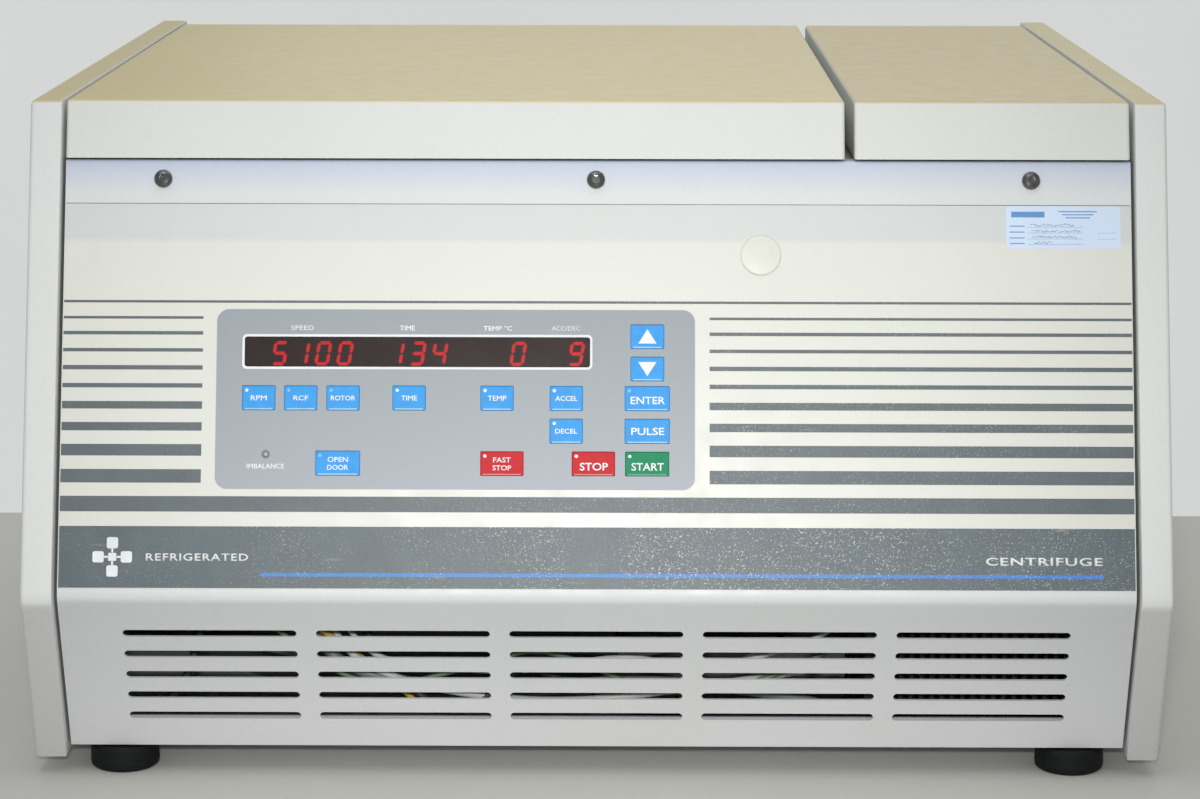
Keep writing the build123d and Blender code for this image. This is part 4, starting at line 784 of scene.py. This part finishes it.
# letter, radius, material, (x, y, z) points
CABLES = [
    ("a", 3.2, cable_grey, [
        (-205, -200, 230), (-196, -236, 150), (-170, -268, 92), (-140, -276, 62),
        (-90, -274, 52), (-40, -262, 47), (30, -258, 50), (110, -262, 42), (148, -256, 30)]),
    ("b", 2.2, cable_white, [
        (-190, -200, 235), (-184, -240, 140), (-150, -270, 80), (-118, -277, 58),
        (-60, -272, 44), (0, -262, 40), (80, -266, 52), (140, -258, 60)]),
    ("c", 1.6, cable_white, [
        (-176, -200, 228), (-170, -244, 128), (-134, -272, 74), (-96, -276, 66),
        (-52, -268, 58), (16, -264, 66), (60, -266, 60), (120, -262, 74), (150, -252, 90)]),
    ("d", 1.7, cable_yellow, [
        (-198, -205, 220), (-206, -240, 130), (-196, -272, 98), (-184, -278, 94),
        (-168, -276, 90), (-140, -270, 70), (-100, -262, 34)]),
    ("e", 1.5, cable_green, [
        (-214, -205, 226), (-214, -245, 120), (-176, -275, 78), (-128, -279, 54),
        (-76, -276, 62), (-30, -268, 70), (40, -262, 44), (100, -270, 56), (146, -258, 74)]),
    ("f", 2.4, cable_dark, [
        (-222, -205, 226), (-226, -250, 110), (-236, -270, 60), (-250, -262, 36),
        (-240, -230, 26)]),
    ("g", 2.6, cable_dark, [
        (-160, -215, 190), (-150, -250, 110), (-108, -272, 50), (-72, -274, 40),
        (-40, -266, 60), (10, -258, 34), (60, -250, 26)])]
for letter, radius, mat, points in CABLES:
    tube("cable_loom_" + letter, radius, mat, points)

# refrigerant pipes from the compressor
tube("pipe_suction", 4.2, mat_copper, [
    (205, 136, 150), (205, 156, 152), (196, 162, 176), (180, 150, 226), (160, 120, 262),
    (142, 96, 276)])
tube("pipe_discharge", 3.2, mat_copper, [
    (245, 136, 150), (245, 152, 152), (262, 156, 160), (296, 130, 176), (298, 40, 190),
    (297, -120, 190), (297, -205, 196), (288, -216, 200), (280, -221, 200)])

# ---------------------------------------------------------------- bucket numbers
ROTOR_X, ROTOR_Y, BUCKET_Z = -82, 30, 292
BUCKET_ARM, CUP_RADIUS, NUMBER_DROP = 100, 40.0, 22.0

mat_number = plastic("number_black", (30, 30, 32), rough=0.5)
for i, (ux, uy) in enumerate(((1, 0), (0, 1), (-1, 0), (0, -1))):
    bucket = f"bucket_{i + 1}"
    mesh = text_mesh(str(i + 1), cap=9.0, bold=0.1, thick=0.25)
    for vert in mesh.verts:  # wrap onto the cup's outward side
        angle = vert.co.x / CUP_RADIUS
        radius = CUP_RADIUS + vert.co.z
        vert.co = Vector((radius * math.cos(angle), radius * math.sin(angle),
                          vert.co.y - NUMBER_DROP))
    centre = (ROTOR_X + BUCKET_ARM * ux, ROTOR_Y + BUCKET_ARM * uy, BUCKET_Z)
    turn = Matrix.Rotation(math.radians(90 * i), 4, "Z")
    finish_mesh("number_" + bucket, mesh, mat_number, bucket,
                matrix=TO_METRES @ Matrix.Translation(centre) @ turn)


# ---------------------------------------------------------------- floor and wall
def stage_mat(name, rgb, glow=False):
    """A pale surface, seen only from its front side."""
    m = Mat(name)
    color = linear(*rgb)
    base = m.mottle(scaled(color, 0.97), scaled(color, 1.03), scale=3.0, detail=3.0)
    if glow:
        m.set(Base_Color=(0, 0, 0), Emission_Color=base, Emission_Strength=1.0,
              Roughness=1.0, Specular_IOR_Level=0.0)
    else:
        m.set(Base_Color=base, Roughness=0.7, Specular_IOR_Level=0.2)
        m.bump(m.noise(scale=350.0, detail=3.0), strength=0.1, distance=0.0002)
    back = m.new("NewGeometry").outputs["Backfacing"]
    m.mix_surface(back, m.shader, m.new("BsdfTransparent"))
    return m


def stage_quad(name, corners, mat):
    data = bpy.data.meshes.new(name)
    data.from_pydata(corners, [], [(0, 1, 2, 3)])
    data.materials.append(mat.material)
    obj = add_object(name, data)
    return obj


HALF, WALL_Y, WALL_TOP = 6, 0.36, 5
floor = stage_quad(
    "floor", [(-HALF, -HALF, 0), (HALF, -HALF, 0), (HALF, HALF, 0), (-HALF, HALF, 0)],
    stage_mat("floor_pale", (212, 210, 203)))
floor.visible_shadow = False  # lets the weak light below reach the underside
wall = stage_quad(
    "wall", [(-HALF, WALL_Y, 0), (HALF, WALL_Y, 0), (HALF, WALL_Y, WALL_TOP),
             (-HALF, WALL_Y, WALL_TOP)],
    stage_mat("wall_pale", (211, 214, 212), glow=True))
wall.visible_diffuse = wall.visible_glossy = wall.visible_shadow = False

# ---------------------------------------------------------------- light
world = bpy.data.worlds.new("soft_world")
scene.world = world
world.use_nodes = True
background = world.node_tree.nodes["Background"]
background.inputs["Color"].default_value = (0.92, 0.96, 1.0, 1)
background.inputs["Strength"].default_value = 0.37


def add_light(name, kind, location, target, power, color):
    light = bpy.data.lights.new(name, kind)
    light.energy = power
    light.color = color
    obj = add_object(name, light)
    obj.location = location
    obj.rotation_mode = "QUATERNION"
    obj.rotation_quaternion = (Vector(target) - Vector(location)).to_track_quat("-Z", "Y")
    return light


flash = add_light("flash", "SPOT", location=(-0.01, -2.06, 0.705),
                  target=(-0.01, -0.28, 0.22), power=79.0, color=(1.0, 0.995, 0.985))
flash.spot_size = math.radians(34.5)
flash.spot_blend = 1.0
flash.shadow_soft_size = 0.045
# name, location, target, size, power, colour
for name, location, target, size, power, color in (
        ("soft_top", (0.1, -0.2, 2.0), (0, 0, 0.2), 1.8, 7.0, (1.0, 0.98, 0.94)),
        ("soft_window", (-0.5, -0.9, 2.4), (0, -0.2, 0.25), 1.3, 6.0, (0.86, 0.93, 1.0)),
        ("soft_back", (0.2, 2.2, 1.6), (0, 0.3, 0.2), 1.6, 9.0, (1, 1, 1)),
        ("soft_below", (0.0, 0.0, -1.6), (0, 0.001, 0), 2.0, 1.6, (0.92, 0.96, 1.0))):
    add_light(name, "AREA", location, target, power, color).size = size

# ---------------------------------------------------------------- camera
CAMERA_PLACE = (0.012756, -2.06363, 0.58631)
# degrees: down, to the left, and clockwise or not about the view axis
PITCH, YAW, ROLL = (math.radians(angle) for angle in (11.551, 0.353, 0.091))

camera_data = bpy.data.cameras.new("camera")
camera_data.sensor_width = 36.0
camera_data.lens = 96.444
camera_data.clip_start, camera_data.clip_end = 0.05, 50
camera = add_object("camera", camera_data)
level_right = Vector((math.cos(YAW), math.sin(YAW), 0))
level_ahead = Vector((-math.sin(YAW), math.cos(YAW), 0))
vertical = Vector((0, 0, 1))
ahead = level_ahead * math.cos(PITCH) - vertical * math.sin(PITCH)
level_up = level_ahead * math.sin(PITCH) + vertical * math.cos(PITCH)
right = level_right * math.cos(ROLL) + level_up * math.sin(ROLL)
up = level_up * math.cos(ROLL) - level_right * math.sin(ROLL)
turn = Matrix((right, up, -ahead)).transposed().to_4x4()
camera.matrix_world = Matrix.Translation(CAMERA_PLACE) @ turn
scene.camera = camera
scene.view_settings.view_transform = "Standard"
scene.view_settings.look = "None"
